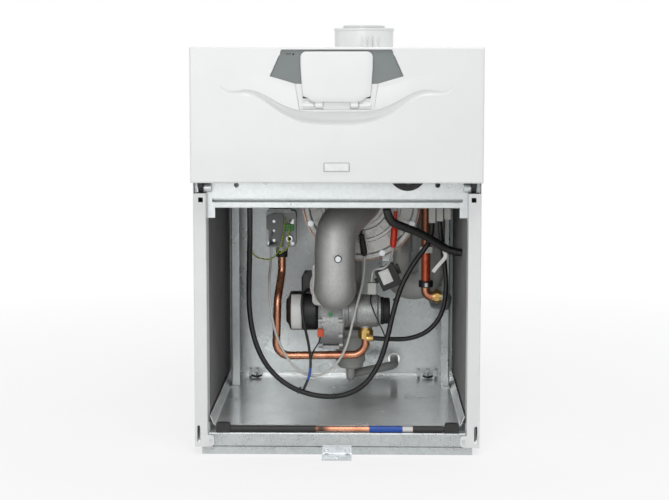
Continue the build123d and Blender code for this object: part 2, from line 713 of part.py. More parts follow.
def gas_valve():
    """Cast gas valve body with its pipe bosses."""
    body = block(-166, -98, 324, 366, 408, 490)
    body = fillet(body.edges().filter_by(Axis.Y), 7)
    body += rod_z(-131, 345, 398, 409, 14)
    body += rod_y(GAS_END[0], 365, 376, GAS_END[1], 16)
    return body + block(-160, -110, 330, 360, 489, 494)


def gas_valve_plate():
    """Grey stepped cover plate on the front of the gas valve, with screw holes."""
    plate = plate_front([(-163, 412), (-101, 412), (-101, 470), (-112, 486), (-163, 486)], 318, 323.8)
    plate += plate_front([(-158, 440), (-122, 440), (-122, 482), (-158, 482)], 313, 318)
    for x, z in VALVE_SCREWS:
        plate -= rod_y(x, 315, 325, z, 2.6)
    return plate


def gas_valve_coils():
    """Two round actuators and the throttle screw on the front of the gas valve."""
    coils = [rod_y(-140, 298, 312.8, 462, 15), rod_y(-112, 304, 317.8, 440, 9)]
    coils.append(rod_y(-140, 308, 317.8, 426, 7))
    return Compound(children=[fillet(c.edges().group_by(Axis.Y)[0], 1.5) for c in coils])


def valve_screws():
    """Screws of the gas valve cover."""
    return Compound(children=[screw_y(x, 317.9, z, 4, 2.6) for x, z in VALVE_SCREWS[:3]])


def gas_valve_plug():
    """Black connector on top of the gas valve."""
    plug = block(-150, -116, 332, 358, 494.2, 516)
    return fillet(plug.edges().filter_by(Axis.Z), 3)


def gas_grommet():
    """Black ring at the top of the copper gas pipe."""
    return rod_z(-131, 345, 384, 397.8, 13) - rod_z(-131, 345, 380, 400, GAS_R + 0.1)


def gas_pipe():
    """Copper gas pipe from the valve, down and across under the fan, up to the mixer."""
    path = [(-131, 345, 397.8), (-131, 345, 350), (-139, 305, 290), (-143, 305, 163)]
    path += [(60, 305, 166), (60, 305, 211.9)]
    return tube(path, [30, 45, 30, 30], GAS_R)


def gas_nut():
    """Brass union nut between the gas pipe and the mixer."""
    nut = extrude(RegularPolygon(17, 6), 19) + Pos(0, 0, 19) * extrude(Circle(14), 6.2)
    nut = Pos(60, at(FAN_D), 204) * nut
    nut -= rod_z(60, FAN_D, 200, 212, GAS_R + 0.1)
    coupling = rod_x(62, 76, 276, 209, 8) + block(63, 69, 276, 290.6, 205, 213)
    return Compound(children=[nut, coupling - block(50, 80, 290.2, 330, 200, 230)])


def spigot(place, radius):
    """Slightly wider end of a pipe, which a coupling slides over at the back."""
    x, z = place
    return rod_y(x, BACK_D + 4, DEPTH, z, radius)


def gas_inlet_pipe():
    """Steel gas supply pipe from the rear connection to the valve."""
    return rod_y(GAS_END[0], 376.2, DEPTH, GAS_END[1], WATER_R) + spigot(GAS_END, SPIGOT_R)


def flow_pipe():
    """Copper flow pipe from the top of the heat exchanger down the right side."""
    path = [(100, 375, 645.2), (100, 375, 690), (196, 330, 690), (196, 330, 296), (212, 330, 296)]
    return tube(path, [30, 30, 15], WATER_R - 0.5)


def flow_fitting():
    """Brass union on the foot of the flow pipe."""
    fitting = rod_x(212.2, 231, 330, 296, 12.5)
    hexagon = extrude(RegularPolygon(16.5, 6), 9)
    return fitting + Pos(217, at(330), 296) * (Rot(0, 90, 0) * hexagon)


def flow_outlet_pipe():
    """Grey steel elbow and pipe from the union to the rear flow connection."""
    path = [(231.2, 330, 296), (245, 330, 296), (244, 385, 264), (222, 450, 258), (222, DEPTH, 258)]
    return tube(path, [12.5, 60, 60], WATER_R) + spigot(FLOW_END, SPIGOT_R)


def return_pipe():
    """Copper return pipe from the heat exchanger to the rear return connection."""
    x, z = RETURN_END
    pipe = tube([(x, 500, 397.8), (x, 500, z), (x, DEPTH, z)], [35], WATER_R)
    return pipe + spigot(RETURN_END, SPIGOT_R)


def exhaust_duct():
    """Grey plastic exhaust duct: a U-bend under the heat exchanger, then up to the flue socket."""
    path = [(132, 430, 385.8), (132, 430, 306), (212, 430, 306), (212, 430, 690)]
    path += [(FLUE_X, FLUE_D, 760), (FLUE_X, FLUE_D, 821.8)]
    return tube(path, [38, 38, 60, 60], EXHAUST_R, EXHAUST_R - 2.5)


def condensate_trap():
    """Light grey condensate cup with a screwed lid and a foot ring."""
    cup = turned([(0, 117), (26, 117), (30, 121), (30, 126), (34, 132), (34, 190), (30, 196),
                  (30, 200), (35, 201), (35, 209), (18, 211), (18, 226), (0, 226)])
    cup = Pos(25, at(410), 0) * cup
    for i in range(12):
        cup += Pos(25, at(410), 205) * (Rot(0, 0, 30 * i) * (Pos(35, 0, 0) * Box(2.4, 4, 8)))
    return cup


def condensate_pipe():
    """Grey pipe from the heat exchanger down into the condensate cup."""
    path = [(40, 520, 383.8), (40, 520, 290), (25, 410, 270), (25, 410, 226.2)]
    return tube(path, [40, 30], DRAIN_R)


def drain_pipe():
    """Grey drain from the condensate cup to the rear."""
    x, z = DRAIN_END
    path = [(25, 410, 116.8), (25, 410, z - 8), (25, 450, z - 8), (x, 520, z), (x, DEPTH, z)]
    return tube(path, [12, 30, 40], DRAIN_R) + spigot(DRAIN_END, DRAIN_R + 0.5)


def ignition_boot():
    """Red silicone boot on the ignition electrode, with a black cap."""
    boot = turned([(0, 0), (5, 0), (6, 3), (7.6, 8), (7.6, 40), (6.4, 44), (6.4, 52), (0, 52)])
    return Pos(121, at(300), 411) * (Rot(0, 4, 0) * boot)


def ignition_electrode():
    """Ignition electrode: ceramic neck and bracket under the burner door."""
    neck = Pos(121, at(300), 411) * (Rot(0, 4, 0) * (Pos(0, 0, 52.2) * turned(
        [(0, 0), (8, 0), (8, 9), (4, 12), (4, 30), (0, 30)])))
    return neck


def ionisation_boot():
    """Black boot on the flame sensing electrode."""
    boot = turned([(0, 0), (4, 0), (5, 3), (7, 7), (7, 34), (5.5, 38), (5.5, 43), (0, 43)])
    return Pos(57, at(296), 392) * (Rot(0, -8, 0) * boot)


def ionisation_electrode():
    """Flame sensing electrode neck above its boot."""
    neck = turned([(0, 0), (6, 0), (6, 5), (3.5, 7), (3.5, 24), (0, 24)])
    return Pos(57, at(296), 392) * (Rot(0, -8, 0) * (Pos(0, 0, 43.2) * neck))


def tilted(shape):
    """Turned about the transformer's own middle, as it hangs on its bracket."""
    return Pos(110, at(300), 345) * (Rot(0, -24, 0) * shape)


def ignition_transformer():
    """Black potted ignition transformer with two mounting ears and a cable outlet."""
    body = fillet(Box(46, 35, 50).edges().filter_by(Axis.Y), 4)
    body += Pos(0, 14, 0) * Box(62, 4, 12)
    body += Pos(27, 0, 12) * Box(10, 14, 12)
    return tilted(body)


def transformer_plug():
    """White connector of the ignition transformer."""
    plug = block(64, 84, 286, 304, 306, 332)
    return fillet(plug.edges().filter_by(Axis.Z), 2)


def transformer_bracket():
    """Grey bent plate that hangs the transformer from the heat exchanger."""
    route = [(318.6, 330), (318.6, 371), (358, 371), (358, 394)]
    return across(folded(route, SHEET), 98, 122)


def sensor_clip():
    """White clip-on temperature sensor high on the flow pipe."""
    clip = block(182, 210, 318, 338, 396, 410) - rod_z(196, 330, 390, 420, WATER_R - 0.4)
    return clip - block(188, 204, 330, 345, 390, 420)


def limit_sensor():
    """Round black clip-on limit sensor low on the flow pipe."""
    clip = rod_z(196, 330, 318, 332, 16.5) - rod_z(196, 330, 310, 340, WATER_R - 0.4)
    clip -= block(190, 202, 335, 350, 310, 340)
    return clip + rod_y(196, 306, 317, 325, 7)


def connector_cluster():
    """Pale harness connectors held in a row under the beam."""
    row = [block(198 + 17 * i, 213 + 17 * i, 226, 244, 474 + 4 * i, 506) for i in range(3)]
    row = [fillet(c.edges().filter_by(Axis.Z), 2) for c in row]
    return Compound(children=row)


def cross_tube():
    """Copper cross tube behind the front rail."""
    return rod_x(-226, 227, 62, 53, 5.2)


def cross_tube_sleeves():
    """Black and blue sleeves on the cross tube."""
    sleeves = []
    for x0, x1 in [(-225, -45), (68, 138), (160, 222)]:
        sleeves.append(rod_x(x0, x1, 62, 53, 6.6) - rod_x(x0 - 1, x1 + 1, 62, 53, 5.3))
    return Compound(children=sleeves)


def cross_tube_ends():
    """Black end blocks that hold the cross tube on the front rail."""
    blocks = []
    for x0, x1 in [(-256, -226.2), (227.2, 257)]:
        end = block(x0, x1, 55.5, 71, RAIL_TOP + 0.2, 66)
        blocks.append(fillet(end.edges().filter_by(Axis.Y).group_by(Axis.Z)[-1], 5))
    return Compound(children=blocks)


def panel_clips():
    """Small sprung wing clips at the foot of the back panel."""
    clips = []
    for x in (-223, -206, 190, 212, 232):
        line = FilletPolyline((584, 59.2), (591, 77), (596.3, 70), (596.3, 59.2), radius=1.5)
        clips.append(across(trace(line, 1), x - 3, x + 3))
    return Compound(children=clips)


def casing_screws():
    """Screws in the lower tabs, the door bracket and the beam ends."""
    places = [(-266, 49.9, 30), (266, 49.9, 30), (-22, FLANGE_D + 1.4, 8), (22, FLANGE_D + 1.4, 8)]
    places += [(-264, 72.3, 590), (264, 72.3, 590)]
    return Compound(children=[screw_y(x, d, z, 4, 2.2) for x, d, z in places])


def lead_radii(points):
    """The largest arc at each corner that leaves a tenth of the shorter run straight."""
    radii = []
    for before, corner, after in zip(points, points[1:], points[2:]):
        into = Vector(*corner) - Vector(*before)
        out = Vector(*after) - Vector(*corner)
        turn = math.radians(into.get_angle(out))
        radii.append(0.45 * min(into.length, out.length) / math.tan(turn / 2))
    return radii


def lead(name):
    """A flexible lead of the wiring along its hand-chosen route."""
    radius, points = LEADS[name]
    radii = lead_radii(points)
    shape = tube(points, radii, radius)
    length = shape.volume / (math.pi * radius**2)
    print(name, "radii", [round(r) for r in radii], "length", round(length))
    return shape


def group(*shapes):
    """Separate solids that share one node."""
    return Compound(children=[solid for shape in shapes for solid in shape.solids()])


def write(name, shape):
    """One node, one file."""
    export_step(shape, f"parts/{name}.step")


def casing():
    side = side_panel_left()
    write("side_panel_left", side)
    write("side_panel_right", mirrored(side))
    write("top_panel", top_panel())
    write("back_panel", back_panel())
    write("base_tray", base_tray())
    write("base_frame", group(base_rails(), front_rail()))
    write("plinth", plinth())
    write("door_bracket", door_bracket())
    slab = side_insulation_left()
    write("side_insulation", group(slab, mirrored(slab)))
    post = rear_upright_left()
    write("rear_uprights", group(post, mirrored(post)))
    write("cross_beam", cross_beam())
    bracket = beam_bracket_left()
    write("brackets", group(bracket, mirrored(bracket), panel_clips(), transformer_bracket()))
    write("screws", group(casing_screws(), valve_screws(), duct_plug(), door_bolts()))
    write("cross_tube", group(cross_tube(), cross_tube_sleeves(), cross_tube_ends()))
    write("rubber_grommets", group(cable_grommet(), gas_grommet(), gas_valve_plug()))


def fascia():
    write("fascia_panel", fascia_panel())
    write("control_inset", control_inset())
    write("control_flap", control_flap())
    write("flap_hinge_pins", flap_hinge_pins())
    write("user_module", user_module())
    write("display_lens", display_lens())
    for name, place in BUTTON_PLACES.items():
        write(name, push_button(place))
    write("rocker_switch", rocker_switch())
    write("control_box", control_box())
    arm = fascia_hinge_arm_left()
    write("fascia_hinge_arms", group(arm, mirrored(arm)))


def flue():
    write("flue_air_adapter", flue_air_adapter())
    write("flue_gas_socket", flue_gas_socket())
    write("air_test_cap", test_cap(TEST_POINTS[0]))
    write("flue_test_cap", test_cap(TEST_POINTS[1]))
    write("exhaust_duct", exhaust_duct())


def burner_group():
    write("heat_exchanger", heat_exchanger())
    write("burner", burner())
    write("burner_door", burner_door())
    write("door_gasket", door_gasket())
    write("mixture_duct", mixture_duct())
    write("ignition_electrode", group(ignition_boot(), ignition_electrode()))
    write("ionisation_electrode", group(ionisation_boot(), ionisation_electrode()))
    write("ignition_transformer", ignition_transformer())


def fan_group():
    write("fan_housing", fan_housing())
    write("fan_impeller", fan_impeller())
    write("fan_motor", group(fan_motor(), motor_electronics()))
    write("mixer", group(mixer(), fan_cover()))
    write("intake_rubber", intake_rubber())


def gas_and_water():
    write("gas_valve", gas_valve())
    write("gas_valve_front", group(gas_valve_plate(), gas_valve_coils()))
    write("gas_pipe", gas_pipe())
    write("brass_fittings", group(gas_nut(), flow_fitting()))
    write("rear_pipes", group(gas_inlet_pipe(), flow_outlet_pipe()))
    write("water_pipes", group(flow_pipe(), return_pipe()))
    write("condensate_trap", group(condensate_trap(), condensate_pipe(), drain_pipe()))


def wiring():
    plugs = group(motor_plug(), transformer_plug(), connector_cluster())
    write("wiring_plugs", group(plugs, sensor_clip(), limit_sensor()))
    for name in LEADS:
        write(name, lead(name))


os.makedirs("parts", exist_ok=True)
casing()
fascia()
flue()
burner_group()
fan_group()
gas_and_water()
wiring()
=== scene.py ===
"""Looks of a floor-standing condensing boiler, shown with its lower service door taken off.

The casing, burner, fan, valves and pipes come in as a fixed frame. This file gives each of them its
finish, lays the wiring and adds the small labels, ties and stickers, laid out as an add-on panel.
"""

import math

import bmesh
import bpy
import numpy as np
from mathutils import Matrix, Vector


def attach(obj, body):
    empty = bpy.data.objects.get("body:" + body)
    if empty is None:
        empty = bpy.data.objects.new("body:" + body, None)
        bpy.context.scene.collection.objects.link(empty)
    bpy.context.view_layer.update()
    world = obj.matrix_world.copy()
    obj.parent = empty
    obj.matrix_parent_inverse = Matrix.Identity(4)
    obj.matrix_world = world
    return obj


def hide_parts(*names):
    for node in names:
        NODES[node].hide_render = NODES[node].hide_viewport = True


bl_info = {
    "name": "Condensing boiler finisher",
    "version": (1, 0, 0),
    "blender": (4, 5, 0),
    "location": "View3D > Sidebar > Boiler",
    "description": "Finishes, wiring and small details of a floor-standing condensing boiler",
    "category": "Object",
}

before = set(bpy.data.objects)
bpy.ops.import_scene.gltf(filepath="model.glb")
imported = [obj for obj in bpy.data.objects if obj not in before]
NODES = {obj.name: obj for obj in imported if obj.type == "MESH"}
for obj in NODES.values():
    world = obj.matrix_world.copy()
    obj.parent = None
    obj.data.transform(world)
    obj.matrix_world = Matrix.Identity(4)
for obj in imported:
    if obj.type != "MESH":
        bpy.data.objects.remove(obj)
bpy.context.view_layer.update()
ROOT = "boiler"
MM = 0.001
# Where the foremost face stands, in millimetres from the middle of the boiler
FRONT_Y = -325.0

# Where the camera stood for the photograph, in metres and degrees, and how far its picture is shifted
CAMERA_PLACE = (0.058, -3.425, 0.817)
CAMERA_TILT = 84.6
CAMERA_TURN = 1.15
CAMERA_SHIFT = -0.06
SENSOR_WIDTH = 36.0

# Half the side of the studio floor, in metres, and how far its middle lies behind the boiler
FLOOR_REACH = 7.0
FLOOR_BACK = 1.0

# Millimetres: from ring to ring of a lead without ribs, and the sizes of a cable tie on a harness
SMOOTH_STEP_MM = 2.5
HARNESS_RADIUS = 6.0
HEAD_RISE = 1.8
TAIL_LENGTH = 16.0

ACROSS = (1.0, 0.0, 0.0)
BACKWARD = (0.0, 1.0, 0.0)
UPWARD = (0.0, 0.0, 1.0)
WHITE_LIGHT = (1.0, 1.0, 1.0, 1.0)
FULL_TURN = 2 * np.pi


def point(x, d, z):
    """A place in metres, from millimetres across, behind the foremost face and above the floor."""
    return (x * MM, (FRONT_Y + d) * MM, z * MM)


# Colours and nodes


def linear(text):
    """Linear colour of an sRGB hex value: the standard's straight foot, then its power of 2.4."""
    parts = np.array([int(text[i:i + 2], 16) for i in (1, 3, 5)]) / 255
    foot = parts / 12.92
    rest = ((parts + 0.055) / 1.055) ** 2.4
    return tuple(np.where(parts <= 0.04045, foot, rest)) + (1.0,)


def add(tree, kind, inputs=None, **settings):
    """One node with its settings; an input takes a value or another node's socket."""
    made = tree.nodes.new("ShaderNode" + kind)
    for name, value in settings.items():
        setattr(made, name, value)
    for name, value in (inputs or {}).items():
        socket = made.inputs[name]
        if isinstance(value, bpy.types.NodeSocket):
            tree.links.new(value, socket)
        else:
            socket.default_value = value
    return made


class Finish:
    """A material being built: its tree, its shader and its coordinates in metres."""

    def __init__(self, name, colour, rough, metal=0.0, **sockets):
        """Flat values go on the shader's sockets, whose names are written with underscores here."""
        self.material = bpy.data.materials.new(name)
        self.material.use_nodes = True
        self.tree = self.material.node_tree
        self.shader = self.tree.nodes["Principled BSDF"]
        self.shader.inputs["Base Color"].default_value = linear(colour)
        self.shader.inputs["Roughness"].default_value = rough
        self.shader.inputs["Metallic"].default_value = metal
        for socket, value in sockets.items():
            self.shader.inputs[socket.replace("_", " ")].default_value = value
        self.material.diffuse_color = linear(colour)
        self.place = add(self.tree, "TexCoord").outputs["Object"]
        self.height = None

    def set(self, socket, value):
        """Feeds a socket of the shader from a pattern."""
        self.tree.links.new(value, self.shader.inputs[socket])

    def colour(self):
        """The pattern that feeds the base colour so far."""
        return self.shader.inputs["Base Color"].links[0].from_socket

    def noise(self, size_mm, detail=3.0, stretch=None, rough=0.5):
        """Noise whose blobs are about size_mm across, drawn out where stretch says."""
        place = self.place
        if stretch:
            place = add(self.tree, "Mapping", {"Vector": place, "Scale": stretch}).outputs[0]
        inputs = {"Vector": place, "Scale": 1.0 / (size_mm * MM), "Detail": detail, "Roughness": rough}
        return add(self.tree, "TexNoise", inputs).outputs["Fac"]

    def cells(self, size_mm):
        """Cells about size_mm across, each with a random colour of its own."""
        inputs = {"Vector": self.place, "Scale": 1.0 / (size_mm * MM)}
        return add(self.tree, "TexVoronoi", inputs, feature="F1").outputs["Color"]

    def ramp(self, value, low, high, start=0.0, end=1.0):
        """Value stretched so that low gives start and high gives end."""
        inputs = {"Value": value, "From Min": low, "From Max": high, "To Min": start, "To Max": end}
        return add(self.tree, "MapRange", inputs).outputs["Result"]

    def mix(self, mask, first, second):
        """Colour that goes from first to second as the mask goes from 0 to 1.

        Each is a hex value or a pattern. The Mix node keeps its colour inputs at 6 and 7 and its colour
        output at 2.
        """
        first, second = (linear(value) if isinstance(value, str) else value for value in (first, second))
        return add(self.tree, "Mix", {0: mask, 6: first, 7: second}, data_type="RGBA").outputs[2]

    def tint(self, mask, first, second):
        """Base colour that goes from first to second as the mask goes from 0 to 1."""
        self.set("Base Color", self.mix(mask, first, second))

    def roughness(self, pattern, low, high):
        """Roughness that runs from low to high over the middle of a noise, where nearly all of it lies."""
        self.set("Roughness", self.ramp(pattern, 0.3, 0.7, low, high))

    def maths(self, operation, first, second=0.0):
        """A sum, product or other working of values or patterns."""
        return add(self.tree, "Math", {0: first, 1: second}, operation=operation).outputs[0]

    def span(self, axis, low_mm, high_mm, soft_mm=0.05):
        """1 between two places along an axis of the boiler and 0 outside them."""
        split = add(self.tree, "SeparateXYZ", {"Vector": self.place})
        along = split.outputs[axis]
        rise = self.ramp(along, (low_mm - soft_mm) * MM, (low_mm + soft_mm) * MM)
        fall = self.ramp(along, (high_mm + soft_mm) * MM, (high_mm - soft_mm) * MM)
        return self.maths("MULTIPLY", rise, fall)

    def block(self, xs=None, ds=None, zs=None, soft_mm=0.05):
        """1 inside a box given by its limits across, in depth and in height."""
        mask = None
        for axis, limits, shift in ((0, xs, 0), (1, ds, FRONT_Y), (2, zs, 0)):
            if limits:
                part = self.span(axis, limits[0] + shift, limits[1] + shift, soft_mm)
                mask = part if mask is None else self.maths("MULTIPLY", mask, part)
        return mask

    def bump(self, value, depth_mm, strength=1.0):
        """Relief of a real depth, added to what is there already."""
        inputs = {"Height": value, "Distance": depth_mm * MM, "Strength": strength}
        if self.height is not None:
            inputs["Normal"] = self.height
        self.height = add(self.tree, "Bump", inputs).outputs["Normal"]
        self.set("Normal", self.height)


def powder_coat(settings):
    """White polyester powder coat on sheet steel: satin, with a faint orange peel."""
    f = Finish("white_powder_coated_steel", "#E9EAEA", 0.38, Coat_Weight=0.15)
    f.tint(f.noise(180), tuple(settings.casing_shade), tuple(settings.casing_light))
    f.roughness(f.noise(40), 0.33, 0.44)
    f.bump(f.noise(1.6, 2.0), 0.02)
    return f


def white_plastic_tone(f):
    """The slow drift between two whites that moulded ABS shows over a hand's width."""
    return f.mix(f.noise(120), "#E8E9E9", "#F0F1F1")


def white_moulding(name="white_moulded_abs"):
    """Injection-moulded white ABS: smooth satin with a very fine even grain."""
    f = Finish(name, "#EBECEC", 0.34, Coat_Weight=0.1)
    f.set("Base Color", white_plastic_tone(f))
    f.roughness(f.noise(2.0, 2.0), 0.3, 0.4)
    # The real grain is about 0.1 mm, drawn here at 0.9 mm so that it shows
    f.bump(f.noise(0.9, 2.0), 0.008)
    return f


def grey_moulding(name="grey_grained_abs"):
    """Grey moulded ABS with a spark-eroded grain that scatters the light."""
    f = Finish(name, "#808786", 0.52)
    f.tint(f.noise(60), "#7A8180", "#868D8C")
    f.roughness(f.noise(1.2), 0.46, 0.6)
    # The eroded grain is about 0.2 mm, drawn here at 0.7 mm so that it shows
    f.bump(f.noise(0.7, 3.0), 0.03)
    return f


def dark_moulding(name="black_glass_filled_nylon"):
    """Black glass-filled nylon: matt, slightly uneven, with dusty faces."""
    f = Finish(name, "#1D1E1F", 0.5)
    dust = f.ramp(f.noise(14, 5.0), 0.45, 0.8, 0.0, 0.5)
    f.tint(dust, "#1D1E1F", "#3A3B3B")
    f.roughness(f.noise(2.5), 0.42, 0.62)
    # Marks of the glass fibres are about 0.3 mm, drawn here at 0.8 mm so that they show
    f.bump(f.noise(0.8, 3.0), 0.03)
    return f


def galvanised(name="hot_dip_galvanised_sheet", light="#E0E4E4", dark="#BEC4C4", rough=(0.24, 0.4)):
    """Galvanised sheet: zinc spangle in pale cells a few millimetres wide, softly mirroring."""
    f = Finish(name, light, 0.34, 0.5)
    spangle = add(f.tree, "SeparateColor", {"Color": f.cells(7.0)}).outputs["Red"]
    cloud = f.noise(90, 4.0)
    tone = f.maths("ADD", f.maths("MULTIPLY", spangle, 0.25), f.maths("MULTIPLY", cloud, 0.75))
    f.tint(tone, dark, light)
    f.roughness(cloud, rough[0], rough[1])
    f.bump(f.noise(60, 2.0), 0.1)
    return f


def floor_tray():
    """Galvanised floor tray: paler and smoother than the other sheets, so it mirrors the pipes."""
    return galvanised("galvanised_floor_tray", "#F0F2F2", "#D2D6D6", (0.14, 0.28))


def base_rails():
    """Galvanised rails near the floor: duller, with brown specks of dirt in patches low on them."""
    f = galvanised("galvanised_base_rails", "#D2D6D6", "#ADB3B3")
    speck = f.ramp(f.noise(3.0, 6.0, rough=0.7), 0.52, 0.66)
    patch = f.ramp(f.noise(30, 3.0), 0.35, 0.6)
    mask = f.maths("MULTIPLY", f.maths("MULTIPLY", speck, patch), f.span(2, 10, 62, 3.0))
    f.tint(mask, f.colour(), "#4A3A2C")
    return f


def cast_aluminium(name="sand_cast_aluminium", light="#DADAD7", dark="#A9A9A6", grain=1.6):
    """Shot-blasted cast aluminium: matt grey, with a fine skin and darker hollows.

    The real skin has a grain of 0.3 to 0.6 mm, drawn here at one to two millimetres so that it shows.
    """
    f = Finish(name, light, 0.5, 0.55)
    pits = f.ramp(f.noise(grain, 4.0, rough=0.65), 0.35, 0.62)
    cloud = f.ramp(f.noise(28), 0.2, 0.7, 0.55, 1.0)
    f.tint(f.maths("MULTIPLY", pits, cloud), dark, light)
    f.roughness(f.noise(6), 0.42, 0.6)
    f.bump(f.noise(grain, 4.0, rough=0.6), 0.12)
    return f


def copper():
    """Drawn copper pipe, handled and warmed: pink-brown, with darker flow marks and stains."""
    f = Finish("drawn_copper_pipe", "#D0906F", 0.3, 0.8)
    stain = f.ramp(f.noise(34, 4.0), 0.42, 0.75)
    tone = f.mix(stain, "#D99B7C", "#B06C4E")
    f.tint(f.ramp(f.noise(6, 4.0), 0.6, 0.8, 0.0, 0.35), tone, "#7C4A36")
    f.roughness(f.noise(14, 1.0), 0.22, 0.34)
    f.bump(f.noise(24, 1.0), 0.06)
    return f


def brass():
    """Turned brass: yellow, with duller, browner spots."""
    f = Finish("turned_brass", "#D2B06A", 0.26, 0.85)
    f.tint(f.ramp(f.noise(9, 3.0), 0.4, 0.8), "#DDBD78", "#AD8846")
    f.roughness(f.noise(8, 1.0), 0.24, 0.38)
    f.bump(f.noise(10, 1.0), 0.02)
    return f


def zinc_steel():
    """Zinc-plated steel screws and pipes: cool grey, with a faint haze."""
    f = Finish("zinc_plated_steel", "#C9CDCF", 0.32, 0.8)
    f.tint(f.noise(10), "#B9BDC0", "#D9DCDE")
    f.roughness(f.noise(9, 1.0), 0.28, 0.4)
    f.bump(f.noise(12, 1.0), 0.02)
    return f


def rubber(name="black_epdm_rubber"):
    """Moulded rubber: soft black, with a bloom of dust."""
    f = Finish(name, "#1B1B1B", 0.6)
    f.tint(f.ramp(f.noise(9, 4.0), 0.45, 0.8, 0.0, 0.5), "#1B1B1B", "#3B3B3A")
    f.roughness(f.noise(3), 0.52, 0.72)
    f.bump(f.noise(0.8), 0.03)
    return f


def felt_foam():
    """Felt-faced foam slab: charcoal fibres over a soft, lumpy core.

    A real fibre is about 0.03 mm thick, so tufts of 1.6 mm, drawn out upwards, stand for them.
    """
    f = Finish("charcoal_felt_faced_foam", "#363635", 0.95, Sheen_Weight=0.25)
    fibre = f.noise(1.6, 5.0, (1.0, 1.0, 0.25), 0.7)
    lumps = f.noise(45, 4.0)
    tone = f.maths("ADD", f.maths("MULTIPLY", fibre, 0.6), f.maths("MULTIPLY", lumps, 0.4))
    f.tint(f.ramp(tone, 0.35, 0.68), "#1E1E1E", "#565654")
    f.bump(fibre, 0.35)
    f.bump(lumps, 1.5, 0.6)
    return f


def silicone(name, colour, dark):
    """Moulded silicone or smooth nylon: clean colour with a soft sheen."""
    f = Finish(name, colour, 0.36, Coat_Weight=0.15)
    f.tint(f.noise(8), dark, colour)
    f.bump(f.noise(1.0), 0.02)
    return f


def pale_plastic(name="pale_polypropylene", light="#D2D3D0", dark="#B4B6B3"):
    """Pale polypropylene: a little waxy, with soft flow marks."""
    f = Finish(name, light, 0.42, Subsurface_Weight=0.1, Subsurface_Scale=0.004)
    f.tint(f.noise(26), dark, light)
    f.roughness(f.noise(5), 0.34, 0.5)
    f.bump(f.noise(1.2), 0.02)
    return f


def clear_lens():
    """Clear polycarbonate lens over the display: nearly smooth, so it mirrors the lamps sharply."""
    f = Finish("clear_polycarbonate", "#DDE3E2", 0.08, Transmission_Weight=0.85, IOR=1.58)
    f.bump(f.noise(20), 0.01)
    return f


# Surfaces


def unit(vectors):
    """Vectors brought to a length of 1."""
    vectors = np.asarray(vectors, dtype=float)
    return vectors / np.linalg.norm(vectors, axis=-1, keepdims=True)


def grid(across, depth, height):
    """Places in metres, from arrays of millimetres across, behind the front and above the floor."""
    across, depth, height = np.broadcast_arrays(across, depth, height)
    return np.stack([across * MM, (FRONT_Y + depth) * MM, height * MM], axis=-1)


def surface(name, places, wrap_u=False, wrap_v=False):
    """A mesh over a grid of points, u along the first axis and v along the second.

    Each face joins a point to those one step on in u and in v, and points to the side from which u runs
    right and v runs up.
    """
    nu, nv = places.shape[:2]
    index = np.arange(nu * nv).reshape(nu, nv)
    low = index if wrap_u else index[:-1]
    high = np.roll(index, -1, axis=0) if wrap_u else index[1:]
    if wrap_v:
        corners = [low, high, np.roll(high, -1, axis=1), np.roll(low, -1, axis=1)]
    else:
        corners = [low[:, :-1], high[:, :-1], high[:, 1:], low[:, 1:]]
    faces = np.stack([corner.ravel() for corner in corners], axis=1)
    mesh = bpy.data.meshes.new(name)
    mesh.from_pydata(places.reshape(-1, 3).tolist(), [], faces.tolist())
    mesh.polygons.foreach_set("use_smooth", np.ones(len(mesh.polygons), dtype=bool))
    mesh.update()
    return mesh


def tube(name, places):
    """A surface whose rings close along the second axis, with a face over each end, all facing out."""
    mesh = surface(name, places, wrap_v=True)
    ring = places.shape[1]
    work = bmesh.new()
    work.from_mesh(mesh)
    corners = work.verts[:]
    work.faces.new(corners[:ring][::-1])
    work.faces.new(corners[-ring:])
    bmesh.ops.recalc_face_normals(work, faces=work.faces[:])
    work.to_mesh(mesh)
    work.free()
    return mesh


def placed(mesh, finish, body=ROOT):
    """The object that shows a mesh, in its finish and on its body."""
    mesh.materials.append(finish.material)
    made = bpy.data.objects.new(mesh.name, mesh)
    bpy.context.scene.collection.objects.link(made)
    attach(made, body)
    return made


def spline_points(name, stops):
    """Points read from a smooth spline whose control points are the route's stops."""
    curve = bpy.data.curves.new(name + "_route", "CURVE")
    curve.dimensions = "3D"
    curve.resolution_u = 14
    spline = curve.splines.new("NURBS")
    spline.points.add(len(stops) - 1)
    weighted = np.array([point(*stop) + (1.0,) for stop in stops])
    spline.points.foreach_set("co", weighted.ravel())
    spline.order_u = 3
    spline.use_endpoint_u = True
    holder = bpy.data.objects.new(name + "_route", curve)
    line = bpy.data.meshes.new_from_object(holder)
    found = np.empty(len(line.vertices) * 3)
    line.vertices.foreach_get("co", found)
    bpy.data.objects.remove(holder)
    bpy.data.curves.remove(curve)
    bpy.data.meshes.remove(line)
    return found.reshape(-1, 3)


def evenly(path, step):
    """The same line with points about one step apart along it, and how far along each of them is."""
    runs = np.linalg.norm(np.diff(path, axis=0), axis=1)
    along = np.concatenate([[0.0], np.cumsum(runs)])
    count = max(4, int(round(along[-1] / step)) + 1)
    wanted = np.linspace(0.0, along[-1], count)
    return np.stack([np.interp(wanted, along, path[:, i]) for i in range(3)], axis=1), wanted


def square_to(path, reference):
    """Two directions square to a line at each of its points.

    The second is the line's slope crossed with the reference, and the third is the slope crossed with it.
    """
    slope = unit(np.gradient(path, axis=0))
    second = unit(np.cross(slope, reference))
    return second, np.cross(slope, second)


